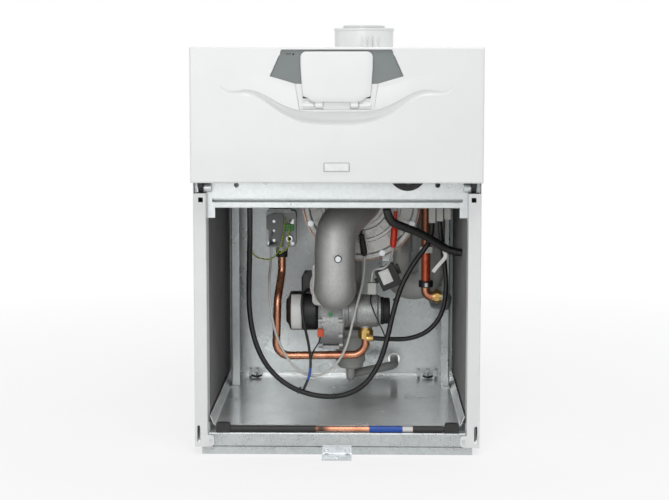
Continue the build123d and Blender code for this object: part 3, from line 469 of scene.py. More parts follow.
def hose(name, path, radius, sides=20, reference=BACKWARD):
    """A tube about a line: line + radius * (cos(angle) * second + sin(angle) * third).

    The second and third directions stand square to the line, and the angle runs once round it.
    """
    second, third = square_to(path, reference)
    angle = np.linspace(0.0, FULL_TURN, sides, endpoint=False)[:, None]
    ring = np.cos(angle) * second[:, None] + np.sin(angle) * third[:, None]
    radii = np.broadcast_to(radius, (len(path),))
    return tube(name, path[:, None] + radii[:, None, None] * ring)


def lead(name, radius_mm, stops, finish, ribs=0.0, pitch_mm=3.4, node=None):
    """A flexible lead: its radius swells by the ribs' share once in each pitch of its length.

    The swell is a sine, steepened 1.6 times and cut off at its full height, so that ribs have flat tops.
    """
    step_mm = pitch_mm / 4 if ribs else SMOOTH_STEP_MM
    path, along = evenly(spline_points(name, stops), step_mm * MM)
    wave = np.clip(1.6 * np.sin(FULL_TURN * along / (pitch_mm * MM)), -1.0, 1.0)
    radius = radius_mm * MM * (1.0 - ribs / 2 + ribs / 2 * wave)
    sides = 12 if radius_mm < 4 else 18
    made = placed(hose(name, path, radius, sides), finish)
    if node:
        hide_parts(node)
    return made


# Routes: radius, then stops across, behind the foremost face and above the floor, in millimetres

ROUTES = {
    "main_harness": (6, [
        (-185, 100, 518.4), (-186, 112, 470), (-190, 155, 415), (-195, 196, 352), (-197, 216, 282),
        (-187, 225, 212), (-158, 225, 150), (-108, 225, 106), (-45, 224, 86), (14, 224, 88),
        (60, 225, 113), (91, 225, 160), (108, 226, 217), (120, 226, 274), (136, 225, 331),
        (162, 224, 381), (192, 228, 420), (205.5, 235, 446), (205.5, 235, 473.6),
    ]),
    "right_harness": (5.5, [
        (222.5, 235, 477), (224, 236, 446), (233, 245, 392), (240, 254, 328), (232, 262, 268),
        (204, 269, 228), (165, 274, 209), (120, 276, 206), (76.8, 276, 209),
    ]),
    "thick_sleeve": (9, [
        (104, 99, 516.8), (108, 108, 490), (140, 142, 474), (180, 180, 456), (218, 212, 430),
        (244, 228, 412), (269.6, 232, 408),
    ]),
    "ionisation_lead": (2.8, [
        (57.1, 295.8, 390.8), (58, 284, 352), (44, 258, 300), (30, 250, 246), (18, 250, 192),
        (-8, 250, 148), (-48, 250, 124), (-90, 250, 136), (-122, 250, 178), (-144, 252, 230),
        (-153, 258, 289), (-157, 282, 336), (-156, 322, 364), (-155, 336, 380), (-155, 336, 407.8),
    ]),
    "ignition_lead": (2.8, [
        (121, 299.8, 409.4), (118, 290, 384), (102, 268, 368), (82, 272, 366), (74, 292, 356),
        (74, 295, 333),
    ]),
    "motor_lead": (3, [
        (-65.6, 273, 320), (-76, 266, 318), (-83, 250, 300), (-80, 243, 258), (-68, 244, 210),
        (-61, 246, 160), (-66, 240, 122), (-78, 231, 101),
    ]),
}
EARTH_ROUTE = [
    (-188, 190, 414), (-181, 215, 399), (-171, 250, 391), (-152, 282, 385), (-137, 298, 398),
    (-128, 304, 425), (-124, 304, 455), (-120, 308, 478),
]
EARTH_TAIL = [
    (-112, 309, 474), (-109, 302, 455), (-117, 299, 436), (-110, 300, 418), (-120, 302, 404),
    (-135, 300, 396),
]
PLUG_LEAD = [
    (72, 286, 306), (70, 274, 296), (73, 262, 284), (82, 250, 264), (92, 243, 244),
    (101, 236, 226), (106, 230, 212),
]
ORANGE_LEAD = [
    (-40, 236, 219), (-42, 236, 208), (-50, 238, 196), (-58, 242, 182), (-61, 245, 166),
]
DUCT_STOPS = [
    (-7.5, 252.8, 331), (-7.5, 214, 328), (-7.5, 195, 336), (-7.5, 194, 380), (-7.5, 196, 430),
    (-3, 208, 466), (24, 246, 492), (48, 290, 511), (50, 317.5, 514),
]
TAG_STOPS = [(227, 223, 422), (236, 221, 406), (233, 221, 396), (219, 223, 381), (208, 226, 366)]

# Outlines across and above the floor, anticlockwise from the front, in millimetres

VALVE_PLATE = [
    (-162, 410), (-125, 410), (-125, 480), (-130, 486), (-148, 486), (-164, 480), (-164, 452),
    (-158, 446), (-158, 414),
]
VALVE_RECESS = [(-125, 410), (-99, 410), (-99, 486), (-125, 486)]
EARTH_TERMINAL = [(-123, 446), (-103, 446), (-103, 462), (-123, 462)]
ORANGE_PLUG = [(-47, 219), (-34, 219), (-34, 236), (-47, 236)]

# The valve's screws: across, above the floor, radius, and the depth of the head's face
VALVE_SCREWS = (
    (-147, 468, 3.6, 311.4), (-147, 447, 3.2, 311.4), (-147, 425, 3.6, 311.4), (-104, 470, 3.0, 317.8),
)

# Lamps: name, place, what it points at, side of its square, and its share of the front lamp's power
LAMPS = (
    ("front_lamp", (-0.5, -3.2, 1.1), (0.0, 0.0, 0.25), 1.3, 1.0),
    ("high_lamp", (0.2, -1.35, 3.1), (0.0, -0.25, 0.6), 1.3, 1.5),
    ("left_lamp", (-2.6, 0.4, 1.6), (0.0, 0.0, 0.5), 2.0, 0.45),
    ("right_lamp", (2.6, 0.4, 1.6), (0.0, 0.0, 0.5), 2.0, 0.45),
    ("back_lamp", (0.5, 2.8, 2.2), (0.0, 0.0, 0.5), 2.2, 0.6),
)


# Small pieces of the looks


def rounded_outline(width, height, corner, count=48):
    """A rounded rectangle about 0, as points that run round anticlockwise, in metres.

    A point is the corner's centre in its quarter, plus the corner's radius along the angle.
    """
    angle = np.linspace(0.0, FULL_TURN, count, endpoint=False) + np.pi / count
    cosine, sine = np.cos(angle), np.sin(angle)
    x = np.sign(cosine) * (width / 2 - corner) + corner * cosine
    z = np.sign(sine) * (height / 2 - corner) + corner * sine
    return np.stack([x, z], axis=1) * MM


def circle(x, z, radius, count):
    """Points of a circle in X and Z, anticlockwise, in millimetres."""
    angle = np.linspace(0.0, FULL_TURN, count, endpoint=False)
    return np.stack([x + radius * np.cos(angle), z + radius * np.sin(angle)], axis=1)


def label(
    name, centre, width, height, finish, across=ACROSS, up=UPWARD, corner=1.0, thick=0.25, body=ROOT,
):
    """A thin sticker: rounded rectangles that stand off by its thickness and shrink to the middle.

    across and up are unit directions in its plane, so it lies on the face they span.
    """
    outline = rounded_outline(width, height, corner)
    shares = np.array([1.0, 0.97, 0.7, 0.4, 0.12])[:, None, None]
    rise = np.where(shares < 1.0, thick * MM, 0.0)
    flat = outline[:, :1] * np.array(across) + outline[:, 1:] * np.array(up)
    places = np.array(point(*centre)) + shares * flat + rise * np.cross(across, up)
    return placed(tube(name, places), finish, body)


def ring_about(name, centre, direction, inner, wide, thick, finish, sides=40):
    """A band round a line: a rounded rectangle of the band's width and thickness swept round a circle.

    The circle runs the way that turns the faces outwards.
    """
    direction = unit(direction)
    helper = BACKWARD if abs(direction[1]) < 0.9 else ACROSS
    first = unit(np.cross(direction, helper))
    second = np.cross(first, direction)
    section = rounded_outline(wide, thick, min(wide, thick) * 0.35, 16)
    angle = np.linspace(0.0, FULL_TURN, sides, endpoint=False)[:, None]
    radial = np.cos(angle) * first + np.sin(angle) * second
    reach = (inner + thick / 2) * MM + section[:, 1:]
    places = np.array(point(*centre)) + section[:, :1] * direction + reach * radial[:, None]
    return placed(surface(name, places, wrap_u=True, wrap_v=True), finish)


def cable_tie(name, centre, direction, finish, turn=0.6):
    """A nylon tie: a band round the harness, a head of four rounded squares and a cut tail.

    The tail runs straight out of the head and bends aside by half the square of its share of the length.
    """
    ring_about(name + "_band", centre, direction, HARNESS_RADIUS, 2.5, 1.1, finish)
    direction = unit(direction)
    side = unit(np.cross(direction, BACKWARD))
    out = np.cos(turn) * side - np.sin(turn) * np.array(BACKWARD)
    third = np.cross(direction, out)
    middle = np.array(point(*centre)) + out * (HARNESS_RADIUS + HEAD_RISE) * MM
    square = rounded_outline(4.4, 4.6, 0.6, 24)
    shrink = np.array([0.9, 1.0, 1.0, 0.9])[:, None, None]
    rise = np.array([-1.0, -0.85, 0.85, 1.0])[:, None, None] * HEAD_RISE * MM
    head = middle + shrink * (square[:, :1] * direction + square[:, 1:] * third) + rise * out
    placed(tube(name + "_head", head), finish)
    share = np.linspace(0.0, 1.0, 14)[:, None]
    line = middle + share * TAIL_LENGTH * MM * out + share**2 * TAIL_LENGTH / 2 * MM * third
    section = rounded_outline(2.4, 1.0, 0.4, 16)
    tail = line[:, None] + section[:, :1] * direction + section[:, 1:] * third
    placed(tube(name + "_tail", tail), finish)


def offset(outline, amount):
    """An outline moved inwards: each point goes along the mean of its two sides' normals.

    The move is stretched so that each side, and not the corner, goes in by the amount.
    """
    side = unit(np.roll(outline, -1, axis=0) - outline)
    normal = np.stack([-side[:, 1], side[:, 0]], axis=1)
    both = normal + np.roll(normal, 1, axis=0)
    return outline + amount * both / ((np.linalg.norm(both, axis=1, keepdims=True) ** 2) / 2)


def slab(name, outline, front, back, finish, chamfer=0.8, crown=0.0, body=ROOT):
    """A plate with an outline in X and Z, run from its back to its front, with a rounded front rim.

    The outline runs anticlockwise seen from the front. Rings step in along a quarter circle of the
    chamfer's size, and a crown lets the rim fall back from the middle of the front face.
    """
    outline = np.array(outline, dtype=float)
    turn = np.linspace(0.0, np.pi / 2, 4)
    inset = np.concatenate([[0.0], chamfer * (1 - np.cos(turn))])
    rim = np.stack([offset(outline, amount) for amount in inset])
    rim_depth = np.concatenate([[back], front + crown + chamfer * (1 - np.sin(turn))])
    shares = np.array([0.85, 0.6, 0.3, 0.1])
    middle = outline.mean(axis=0)
    face = middle + shares[:, None, None] * (rim[-1] - middle)
    rings = np.concatenate([rim, face])
    depth = np.concatenate([rim_depth, front + crown * shares**2])[:, None]
    return placed(tube(name, grid(rings[..., 0], depth, rings[..., 1])), finish, body)


def strap(name, stops, wide, thick, finish):
    """A flat strip: a rounded rectangle carried along a smooth line through the stops."""
    path, _ = evenly(spline_points(name, stops), 1.5 * MM)
    wide_way, thin_way = square_to(path, BACKWARD)
    section = rounded_outline(wide, thick, thick * 0.4, 20)
    places = path[:, None] + section[:, :1] * wide_way[:, None] + section[:, 1:] * thin_way[:, None]
    return placed(tube(name, places), finish)


def flap_outline():
    """The flap's outline: round top corners, sides that taper down, and notches over the hinge ears."""
    corner = np.linspace(0.0, np.pi / 2, 15)
    half = np.concatenate([
        np.stack([61.5 + 12 * np.sin(corner), 834.0 + 12 * np.cos(corner)], axis=1),
        [[73.2, 812.0], [71.8, 790.0], [70.0, 768.0], [69.0, 758.0]],
        [[67.5, 754.5], [63.0, 753.4], [58.0, 751.5], [53.0, 747.0], [47.0, 744.0], [30.0, 743.4]],
    ])
    left = half[::-1] * np.array([-1.0, 1.0])
    return np.concatenate([half, left])[::-1]


def flap_tab(name, side, finish):
    """A tab that hangs from the flap onto its pin: a profile run across, its end rings shrunk to 86 %.

    The profile, in depth and height, is a bow of 5 mm about the pin with a neck up to the flap's foot.
    """
    angle = np.linspace(-np.pi / 2, math.radians(52), 12)
    bow = np.stack([6.5 - 5 * np.cos(angle), 736.0 + 5 * np.sin(angle)], axis=1)
    profile = np.concatenate([bow, [[1.1, 748.0], [1.8, 748.0], [3.75, 739.6]]])
    middle = profile.mean(axis=0)
    share = np.array([0.86, 1.0, 1.0, 0.86])[:, None, None]
    rings = middle + share * (profile - middle)
    across = side * 36 + np.array([-8.0, -7.2, 7.2, 8.0])[:, None]
    return placed(tube(name, grid(across, rings[..., 0], rings[..., 1])), finish, "control_flap")


def hinge_ear(name, side, finish):
    """A rounded ear of the surround beside the flap's tabs: a ball, 21 mm wide, 19.2 high and 9.2 deep.

    u runs from its front to its back and v round it, so a place is the centre plus each half size times
    sin(u) cos(v), -cos(u) and sin(u) sin(v).
    """
    u, v = np.meshgrid(
        np.linspace(0.02, np.pi - 0.02, 14), np.linspace(0, FULL_TURN, 28, endpoint=False), indexing="ij",
    )
    across = side * 59.5 + 10.5 * np.sin(u) * np.cos(v)
    places = grid(across, 8.2 - 4.6 * np.cos(u), 739.2 + 9.6 * np.sin(u) * np.sin(v))
    return placed(tube(name, places), finish, "fascia")


def duct_casting(finish):
    """The S-bend duct from the fan up to the burner door: circles of 44 mm radius carried along its line.

    The radius swells in two bell curves along the length, by 3 mm at the foot and by 1.5 at the door.
    """
    path, along = evenly(spline_points("duct-line", DUCT_STOPS), 3 * MM)
    share = along / along[-1]
    foot = 3.0 * np.exp(-((share - 0.1) / 0.09) ** 2)
    mouth = 1.5 * np.exp(-((share - 0.97) / 0.03) ** 2)
    return placed(hose("duct-casting", path, (44.0 + foot + mouth) * MM, 64, ACROSS), finish)


def motor_band(finish):
    """The bare label round the motor: a strip of a cylinder about the motor's axis.

    Its radius is 44.35 mm, and it runs from 205 to 335 degrees round the axis, counted from the top.
    """
    angle = np.linspace(math.radians(205), math.radians(335), 26)[:, None]
    across = np.linspace(-83.5, -107.0, 8)
    places = grid(across, 305 + 44.35 * np.sin(angle), 267 + 44.35 * np.cos(angle))
    band = placed(surface("motor-label", places), finish)
    band.modifiers.new("thickness", "SOLIDIFY").thickness = 0.25 * MM
    return band


# The finishes that need zones, because one node holds pieces of several materials


def zone(f, mask, colour, rough, metal=0.0):
    """Another material inside a finish, where the mask is 1.

    A Mix node of numbers keeps them at its inputs 2 and 3.
    """
    for socket, value in (("Roughness", rough), ("Metallic", metal)):
        now = f.shader.inputs[socket]
        before = now.links[0].from_socket if now.is_linked else now.default_value
        f.set(socket, add(f.tree, "Mix", {0: mask, 2: before, 3: value}).outputs[0])
    f.tint(mask, f.colour(), colour)


def inset_finish():
    """Grey wings beside the flap; the part round its foot and the hinge ears are white."""
    f = grey_moulding("grey_and_white_inset")
    zone(f, f.block(xs=(-87, 87), zs=(700, 780.5)), white_plastic_tone(f), 0.34)
    return f


def cross_tube_finish():
    """Copper pipe in the tray, partly inside black and blue sleeves, between black end blocks."""
    f = copper()
    dull = f.mix(f.noise(5, 4.0), "#141414", "#2C2B2A")
    for limits in ((-300, -45), (160, 300)):
        zone(f, f.block(xs=limits), dull, 0.55)
    zone(f, f.block(xs=(-45, -22), soft_mm=9), "#4A3127", 0.45, 0.4)
    zone(f, f.block(xs=(68, 138)), f.mix(f.noise(6, 3.0), "#083C8C", "#1656B8"), 0.4)
    zone(f, f.block(xs=(138.5, 159.5)), f.mix(f.noise(7), "#D2D4D1", "#E6E7E4"), 0.4)
    return f


def water_pipes_finish():
    """Copper water pipes: heat-browned high up and flushed orange-red near the flow union."""
    f = copper()
    high = f.block(xs=(90, 215), zs=(415, 720), soft_mm=18)
    zone(f, high, f.mix(f.noise(12, 4.0), "#6E4534", "#9A634A"), 0.4, 0.7)
    low = f.block(xs=(180, 215), zs=(325, 405), soft_mm=9)
    zone(f, low, f.mix(f.noise(11, 4.0), "#B4371F", "#D9764F"), 0.34, 0.5)
    return f


def fan_motor_finish():
    """Black nylon motor shell, with a dusty, slightly greyer electronics cover."""
    f = Finish("black_nylon_motor_shell", "#1C1D1E", 0.48)
    dust = f.ramp(f.noise(12, 5.0), 0.42, 0.8, 0.0, 0.6)
    f.tint(dust, "#171819", "#414243")
    f.roughness(f.noise(2.5), 0.4, 0.6)
    f.bump(f.noise(0.9, 3.0), 0.03)
    return f


def ignition_finish():
    """Red silicone boot on a glazed white ceramic neck."""
    f = silicone("red_silicone_boot", "#EE3B17", "#C92A0E")
    zone(f, f.block(zs=(463, 560), ds=(300, 340)), "#E9E6DD", 0.15)
    return f


def ionisation_finish():
    """Black rubber boot on a glazed white ceramic neck."""
    f = rubber("black_rubber_boot")
    zone(f, f.block(zs=(435.5, 560), ds=(296, 340)), "#E4E1D8", 0.15)
    return f


def plugs_finish():
    """Pale connector shells; the motor's plug is orange, and the limit switch is black."""
    f = pale_plastic("pale_nylon_connectors", "#DDDDD8", "#C4C4BE")
    orange = f.block(xs=(-64, -48), zs=(280, 345))
    zone(f, orange, f.mix(f.noise(5), "#D9481A", "#F2622A"), 0.4)
    zone(f, f.block(xs=(180, 215), zs=(312, 340)), "#1B1B1B", 0.5)
    return f


def gas_valve_front_finish():
    """Grey moulded front of the gas valve, with a coil block wrapped in darker moulding."""
    f = Finish("grey_moulded_valve_cover", "#9B9F9E", 0.46)
    f.tint(f.noise(30), "#929696", "#A8ACAB")
    zone(f, f.block(ds=(270, 313)), f.mix(f.noise(8), "#2A2B2B", "#3C3D3D"), 0.5)
    f.bump(f.noise(0.8, 3.0), 0.03)
    return f


def corrugated(settings):
    """Polyamide conduit: black and slightly glossy, with patches of dust."""
    f = Finish("black_corrugated_conduit", "#191919", 0.36)
    dust = f.ramp(f.noise(7, 4.0), 0.5, 0.8, 0.0, 0.6)
    f.tint(dust, tuple(settings.conduit_colour), "#3A3A3A")
    f.roughness(f.noise(4), 0.28, 0.46)
    f.bump(f.noise(1.0), 0.02)
    return f


def bare_label(name, colour, light, rough=0.5):
    """A label's coated film with nothing printed on it, going softly from one tone to a lighter one."""
    f = Finish(name, colour, rough)
    f.roughness(f.noise(4), rough - 0.08, rough + 0.1)
    f.tint(f.noise(12), colour, light)
    f.bump(f.noise(1.0), 0.015)
    return f


def lead_jacket(name, colour, dark):
    """Silicone or PVC jacket of a thin lead: smooth, with a weak sheen and faint stains of handling."""
    f = Finish(name, colour, 0.42, Coat_Weight=0.1)
    f.tint(f.noise(14, 4.0), dark, colour)
    f.bump(f.noise(1.0), 0.02)
    return f


def motor_jacket():
    """Black jacket of the motor's lead; it opens into blue cores just above the harness."""
    f = Finish("black_motor_lead", "#1D1D1D", 0.42, Coat_Weight=0.1)
    f.tint(f.noise(14, 4.0), "#111111", "#1D1D1D")
    cores = f.block(xs=(-80, -50), zs=(122, 147), soft_mm=1)
    zone(f, cores, f.mix(f.noise(3, 1.0), "#1D4FB0", "#2C63C8"), 0.4)
    f.bump(f.noise(1.0), 0.02)
    return f


def earth_jacket():
    """Green and yellow PVC jacket of the earth lead, in slanting bands.

    The bands are cut from the wave sin(2 pi (x + 0.8 z) / 6 mm), so each colour takes about 3 mm.
    """
    f = Finish("earth_lead_jacket", "#D8C61E", 0.4)
    split = add(f.tree, "SeparateXYZ", {"Vector": f.place})
    slant = f.maths("ADD", split.outputs["X"], f.maths("MULTIPLY", split.outputs["Z"], 0.8))
    wave = f.maths("SINE", f.maths("MULTIPLY", slant, 2 * math.pi / (6 * MM)))
    f.tint(f.ramp(wave, -0.2, 0.2), "#E0CC1E", "#2E8B3A")
    f.bump(f.noise(1.0), 0.02)
    return f


def ground(settings):
    """Pale seamless floor: white to the camera and in reflections, while it still keeps a shadow."""
    f = Finish("pale_studio_floor", "#F4F4F4", 0.9)
    f.tint(f.noise(900), "#F2F2F2", "#F8F8F8")
    rays = add(f.tree, "LightPath")
    seen = f.maths("MAXIMUM", rays.outputs["Is Camera Ray"], rays.outputs["Is Glossy Ray"])
    seen = f.maths("MAXIMUM", seen, rays.outputs["Is Transmission Ray"])
    glow = add(f.tree, "Emission", {"Color": WHITE_LIGHT, "Strength": 1.0}).outputs["Emission"]
    reach = add(f.tree, "VectorMath", {0: f.place}, operation="LENGTH").outputs["Value"]
    share = f.maths("MULTIPLY", seen, f.ramp(reach, 0.6, 2.2, settings.floor_glow, 1.0))
    mixed = add(f.tree, "MixShader", {0: share, 1: f.shader.outputs["BSDF"], 2: glow})
    f.tree.links.new(mixed.outputs["Shader"], f.tree.nodes["Material Output"].inputs["Surface"])
    return f


def sky(settings):
    """World: white where it is seen or mirrored, and a plain soft light on the object."""
    world = bpy.data.worlds.new("studio_surround")
    world.use_nodes = True
    tree = world.node_tree
    back = tree.nodes["Background"]
    rays = add(tree, "LightPath")
    seen = rays.outputs["Is Camera Ray"]
    for kind in ("Is Glossy Ray", "Is Transmission Ray"):
        seen = add(tree, "Math", {0: seen, 1: rays.outputs[kind]}, operation="MAXIMUM").outputs[0]
    strength = add(tree, "Mix", {0: seen, 2: settings.surround, 3: 1.0})
    tree.links.new(strength.outputs[0], back.inputs["Strength"])
    back.inputs["Color"].default_value = WHITE_LIGHT
    bpy.context.scene.world = world


# Which finish each group of nodes takes

SHEET_NODES = ("side_panel_left", "side_panel_right", "top_panel")
ZINC_NODES = ("back_panel", "rear_uprights", "cross_beam", "brackets")
LOW_NODES = ("base_frame", "plinth")


def paint(names, finish):
    """Puts a finish into the material slots of CAD nodes."""
    for name in names:
        for slot in NODES[name].material_slots:
            slot.material = finish.material


class BoilerSettings(bpy.types.PropertyGroup):
    """Sizes and levels that the operators read."""

    rib_pitch: bpy.props.FloatProperty(
        name="Rib pitch", description="Distance from rib to rib along the corrugated conduit",
        default=0.0036, min=0.001, max=0.01, unit="LENGTH",
    )
    rib_depth: bpy.props.FloatProperty(
        name="Rib depth", description="Share of the conduit's radius that its grooves go in",
        default=0.11, min=0.0, max=0.3, subtype="FACTOR",
    )
    floor_glow: bpy.props.FloatProperty(
        name="Floor glow", description="How far the floor near the boiler goes to white where it is seen",
        default=0.72, min=0.0, max=1.0, subtype="FACTOR",
    )
    surround: bpy.props.FloatProperty(
        name="Surround", description="Strength of the even light from all around",
        default=0.36, min=0.0, max=2.0,
    )
    key: bpy.props.FloatProperty(
        name="Front light", description="Power of the large lamp in front", default=21.0, unit="POWER",
    )
    lens: bpy.props.FloatProperty(
        name="Lens", description="Focal length of the camera", default=82.0, unit="CAMERA",
    )
    casing_shade: bpy.props.FloatVectorProperty(
        name="Casing, darker", description="The darker of the two tones that the casing drifts between",
        default=linear("#E6E8E8"), size=4, min=0.0, max=1.0, subtype="COLOR",
    )
    casing_light: bpy.props.FloatVectorProperty(
        name="Casing, lighter", description="The lighter of the two tones that the casing drifts between",
        default=linear("#EEEFEF"), size=4, min=0.0, max=1.0, subtype="COLOR",
    )
    conduit_colour: bpy.props.FloatVectorProperty(
        name="Conduit", description="Colour of the corrugated conduit under its dust",
        default=linear("#131313"), size=4, min=0.0, max=1.0, subtype="COLOR",
    )


def soft_lamp(name, place, target, size, power):
    """A square area lamp at a place, turned to its target."""
    data = bpy.data.lights.new(name, "AREA")
    data.shape = "SQUARE"
    data.size = size
    data.energy = power
    lamp = bpy.data.objects.new(name, data)
    lamp.location = place
    way = Vector(target) - Vector(place)
    lamp.rotation_euler = way.to_track_quat("-Z", "Y").to_euler()
    bpy.context.scene.collection.objects.link(lamp)


# Operators: the stage, then one for each group of pieces


def settings_for(context, needed):
    """The settings, once every node that an operator works on is known to be there."""
    missing = [name for name in needed if name not in NODES]
    if missing:
        raise RuntimeError("these nodes aren't in the frame: " + ", ".join(missing))
    return context.scene.boiler_settings


class BOILER_OT_stage(bpy.types.Operator):
    """Lay the pale floor, hang the lamps and set the camera"""

    bl_idname = "boiler.stage"
    bl_label = "Stage"

    def execute(self, context):
        settings = settings_for(context, ())
        u, v = np.meshgrid(np.linspace(-1, 1, 9), np.linspace(-1, 1, 9), indexing="ij")
        places = np.stack([u * FLOOR_REACH, v * FLOOR_REACH + FLOOR_BACK, np.zeros_like(u)], axis=2)
        mesh = surface("studio_floor", places)
        mesh.materials.append(ground(settings).material)
        floor = bpy.data.objects.new("studio_floor", mesh)
        context.scene.collection.objects.link(floor)
        sky(settings)
        for name, place, target, size, share in LAMPS:
            soft_lamp(name, place, target, size, settings.key * share)
        data = bpy.data.cameras.new("photo_camera")
        data.lens = settings.lens
        data.sensor_width = SENSOR_WIDTH
        data.shift_y = CAMERA_SHIFT
        camera = bpy.data.objects.new("photo_camera", data)
        camera.location = CAMERA_PLACE
        camera.rotation_euler = (math.radians(CAMERA_TILT), 0.0, math.radians(CAMERA_TURN))
        context.scene.collection.objects.link(camera)
        context.scene.camera = camera
        context.scene.view_settings.view_transform = "Standard"
        return {"FINISHED"}


class BOILER_OT_casing(bpy.types.Operator):
    """Finish the casing panels, the base and the sheet brackets"""

    bl_idname = "boiler.casing"
    bl_label = "Casing"

    def execute(self, context):
        single = ("base_tray", "side_insulation", "door_bracket", "screws")
        settings = settings_for(context, SHEET_NODES + ZINC_NODES + LOW_NODES + single)
        paint(SHEET_NODES, powder_coat(settings))
        paint(ZINC_NODES, galvanised())
        paint(LOW_NODES, base_rails())
        paint(("base_tray",), floor_tray())
        paint(("side_insulation",), felt_foam())
        paint(("door_bracket", "screws"), zinc_steel())
        return {"FINISHED"}


class BOILER_OT_fascia(bpy.types.Operator):
    """Finish the sculpted fascia, its flap and the controls behind it"""

    bl_idname = "boiler.fascia"
    bl_label = "Fascia and controls"

    def execute(self, context):
        buttons = ("menu_button", "up_button", "down_button")
        dark = ("user_module", "rocker_switch", "control_box", "fascia_hinge_arms")
        others = ("fascia_panel", "control_flap", "control_inset", "display_lens", "flap_hinge_pins")
        settings_for(context, buttons + dark + others)
        paint(("fascia_panel",), white_moulding())
        shell = white_moulding("white_moulded_flap")
        flap = slab("flap-cover", flap_outline(), 0.5, 3.5, shell, 1.6, 0.4, "control_flap")
        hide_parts("control_flap")
        for side, word in ((-1, "left"), (1, "right")):
            flap_tab("flap-tab-" + word, side, shell)
            hinge_ear("hinge-ear-" + word, side, shell)
        paint(buttons, grey_moulding())
        paint(("control_inset",), inset_finish())
        paint(dark, dark_moulding())
        paint(("display_lens",), clear_lens())
        paint(("flap_hinge_pins",), zinc_steel())
        return {"FINISHED"}


class BOILER_OT_flue(bpy.types.Operator):
    """Finish the flue adapter and its two test caps"""

    bl_idname = "boiler.flue"
    bl_label = "Flue"

    def execute(self, context):
        names = ("flue_air_adapter", "flue_gas_socket", "air_test_cap", "flue_test_cap")
        settings_for(context, names)
        paint(names, white_moulding("white_moulded_flue_parts"))
        return {"FINISHED"}


class BOILER_OT_burner(bpy.types.Operator):
    """Finish the heat exchanger, burner door, electrodes and mixture duct"""

    bl_idname = "boiler.burner"
    bl_label = "Burner"

    def execute(self, context):
        names = ("heat_exchanger", "burner_door", "mixture_duct", "burner", "door_gasket")
        settings_for(context, names + ("ignition_electrode", "ionisation_electrode"))
        paint(("heat_exchanger", "burner_door"), cast_aluminium())
        casting = cast_aluminium("blasted_duct_casting", "#C9C9C7", "#A3A3A1", 1.3)
        duct = duct_casting(casting)
        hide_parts("mixture_duct")
        ring_about("duct-door-flange", (50, 314.5, 514), BACKWARD, 42, 7, 13, casting, sides=64)
        foot = rounded_outline(66, 96, 12, 48) / MM + np.array([-26, 335])
        slab("duct-fan-flange", foot, 246.5, 253.0, casting, 1.2)
        slab("duct-plug-boss", circle(0.5, 403.5, 8, 40), 150.0, 175.0, casting)
        paint(("burner",), zinc_steel())
        paint(("door_gasket",), copper())
        paint(("ignition_electrode",), ignition_finish())
        paint(("ionisation_electrode",), ionisation_finish())
        return {"FINISHED"}


class BOILER_OT_fan(bpy.types.Operator):
    """Finish the fan, its motor, the mixer and the intake rubber"""

    bl_idname = "boiler.fan"
    bl_label = "Fan"

    def execute(self, context):
        names = ("fan_housing", "fan_impeller", "fan_motor", "mixer", "intake_rubber")
        settings_for(context, names)
        metal = cast_aluminium("pressure_cast_aluminium", "#C9CACA", "#8E8F8F", 2.2)
        paint(("fan_housing", "fan_impeller", "mixer"), metal)
        paint(("fan_motor",), fan_motor_finish())
        paint(("intake_rubber",), rubber())
        return {"FINISHED"}


class BOILER_OT_gas(bpy.types.Operator):
    """Finish the gas valve, its pipe and the brass fittings"""

    bl_idname = "boiler.gas"
    bl_label = "Gas"

    def execute(self, context):
        names = ("gas_valve", "gas_valve_front", "gas_pipe", "brass_fittings")
        settings_for(context, names)
        paint(("gas_valve",), cast_aluminium("die_cast_valve_body", "#C6C8C8", "#9A9C9E", 1.2))
        grey = gas_valve_front_finish()
        front = slab("valve-front", VALVE_PLATE, 313.0, 323.8, grey)
        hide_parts("gas_valve_front")
        slab("valve-recess", VALVE_RECESS, 319.5, 323.8, grey, 0.5)
        zinc = zinc_steel()
        for index, (x, z, radius, face) in enumerate(VALVE_SCREWS):
            slab("valve-screw-%d" % index, circle(x, z, radius, 24), face, 320.0, zinc, 0.6)
        slab("valve-throttle", circle(-112, 429, 8.5, 36), 306.0, 320.0, zinc, 1.4)
        cap = rubber("black_throttle_cap")
        slab("valve-throttle-cap", circle(-112, 429, 4.5, 36), 304.6, 307.0, cap)
        green = bare_label("green_terminal_block", "#3C8F4A", "#3C8F4A", 0.45)
        slab("earth-terminal", EARTH_TERMINAL, 311.0, 320.0, green, 1.0)
        paint(("gas_pipe",), copper())
        paint(("brass_fittings",), brass())
        return {"FINISHED"}


class BOILER_OT_water(bpy.types.Operator):
    """Finish the water pipes, the exhaust duct and the condensate trap"""

    bl_idname = "boiler.water"
    bl_label = "Water and exhaust"

    def execute(self, context):
        names = ("water_pipes", "cross_tube", "rear_pipes", "exhaust_duct", "condensate_trap")
        settings_for(context, names)
        paint(("water_pipes",), water_pipes_finish())
        paint(("cross_tube",), cross_tube_finish())
        paint(("rear_pipes",), zinc_steel())
        paint(("exhaust_duct", "condensate_trap"), pale_plastic())
        return {"FINISHED"}


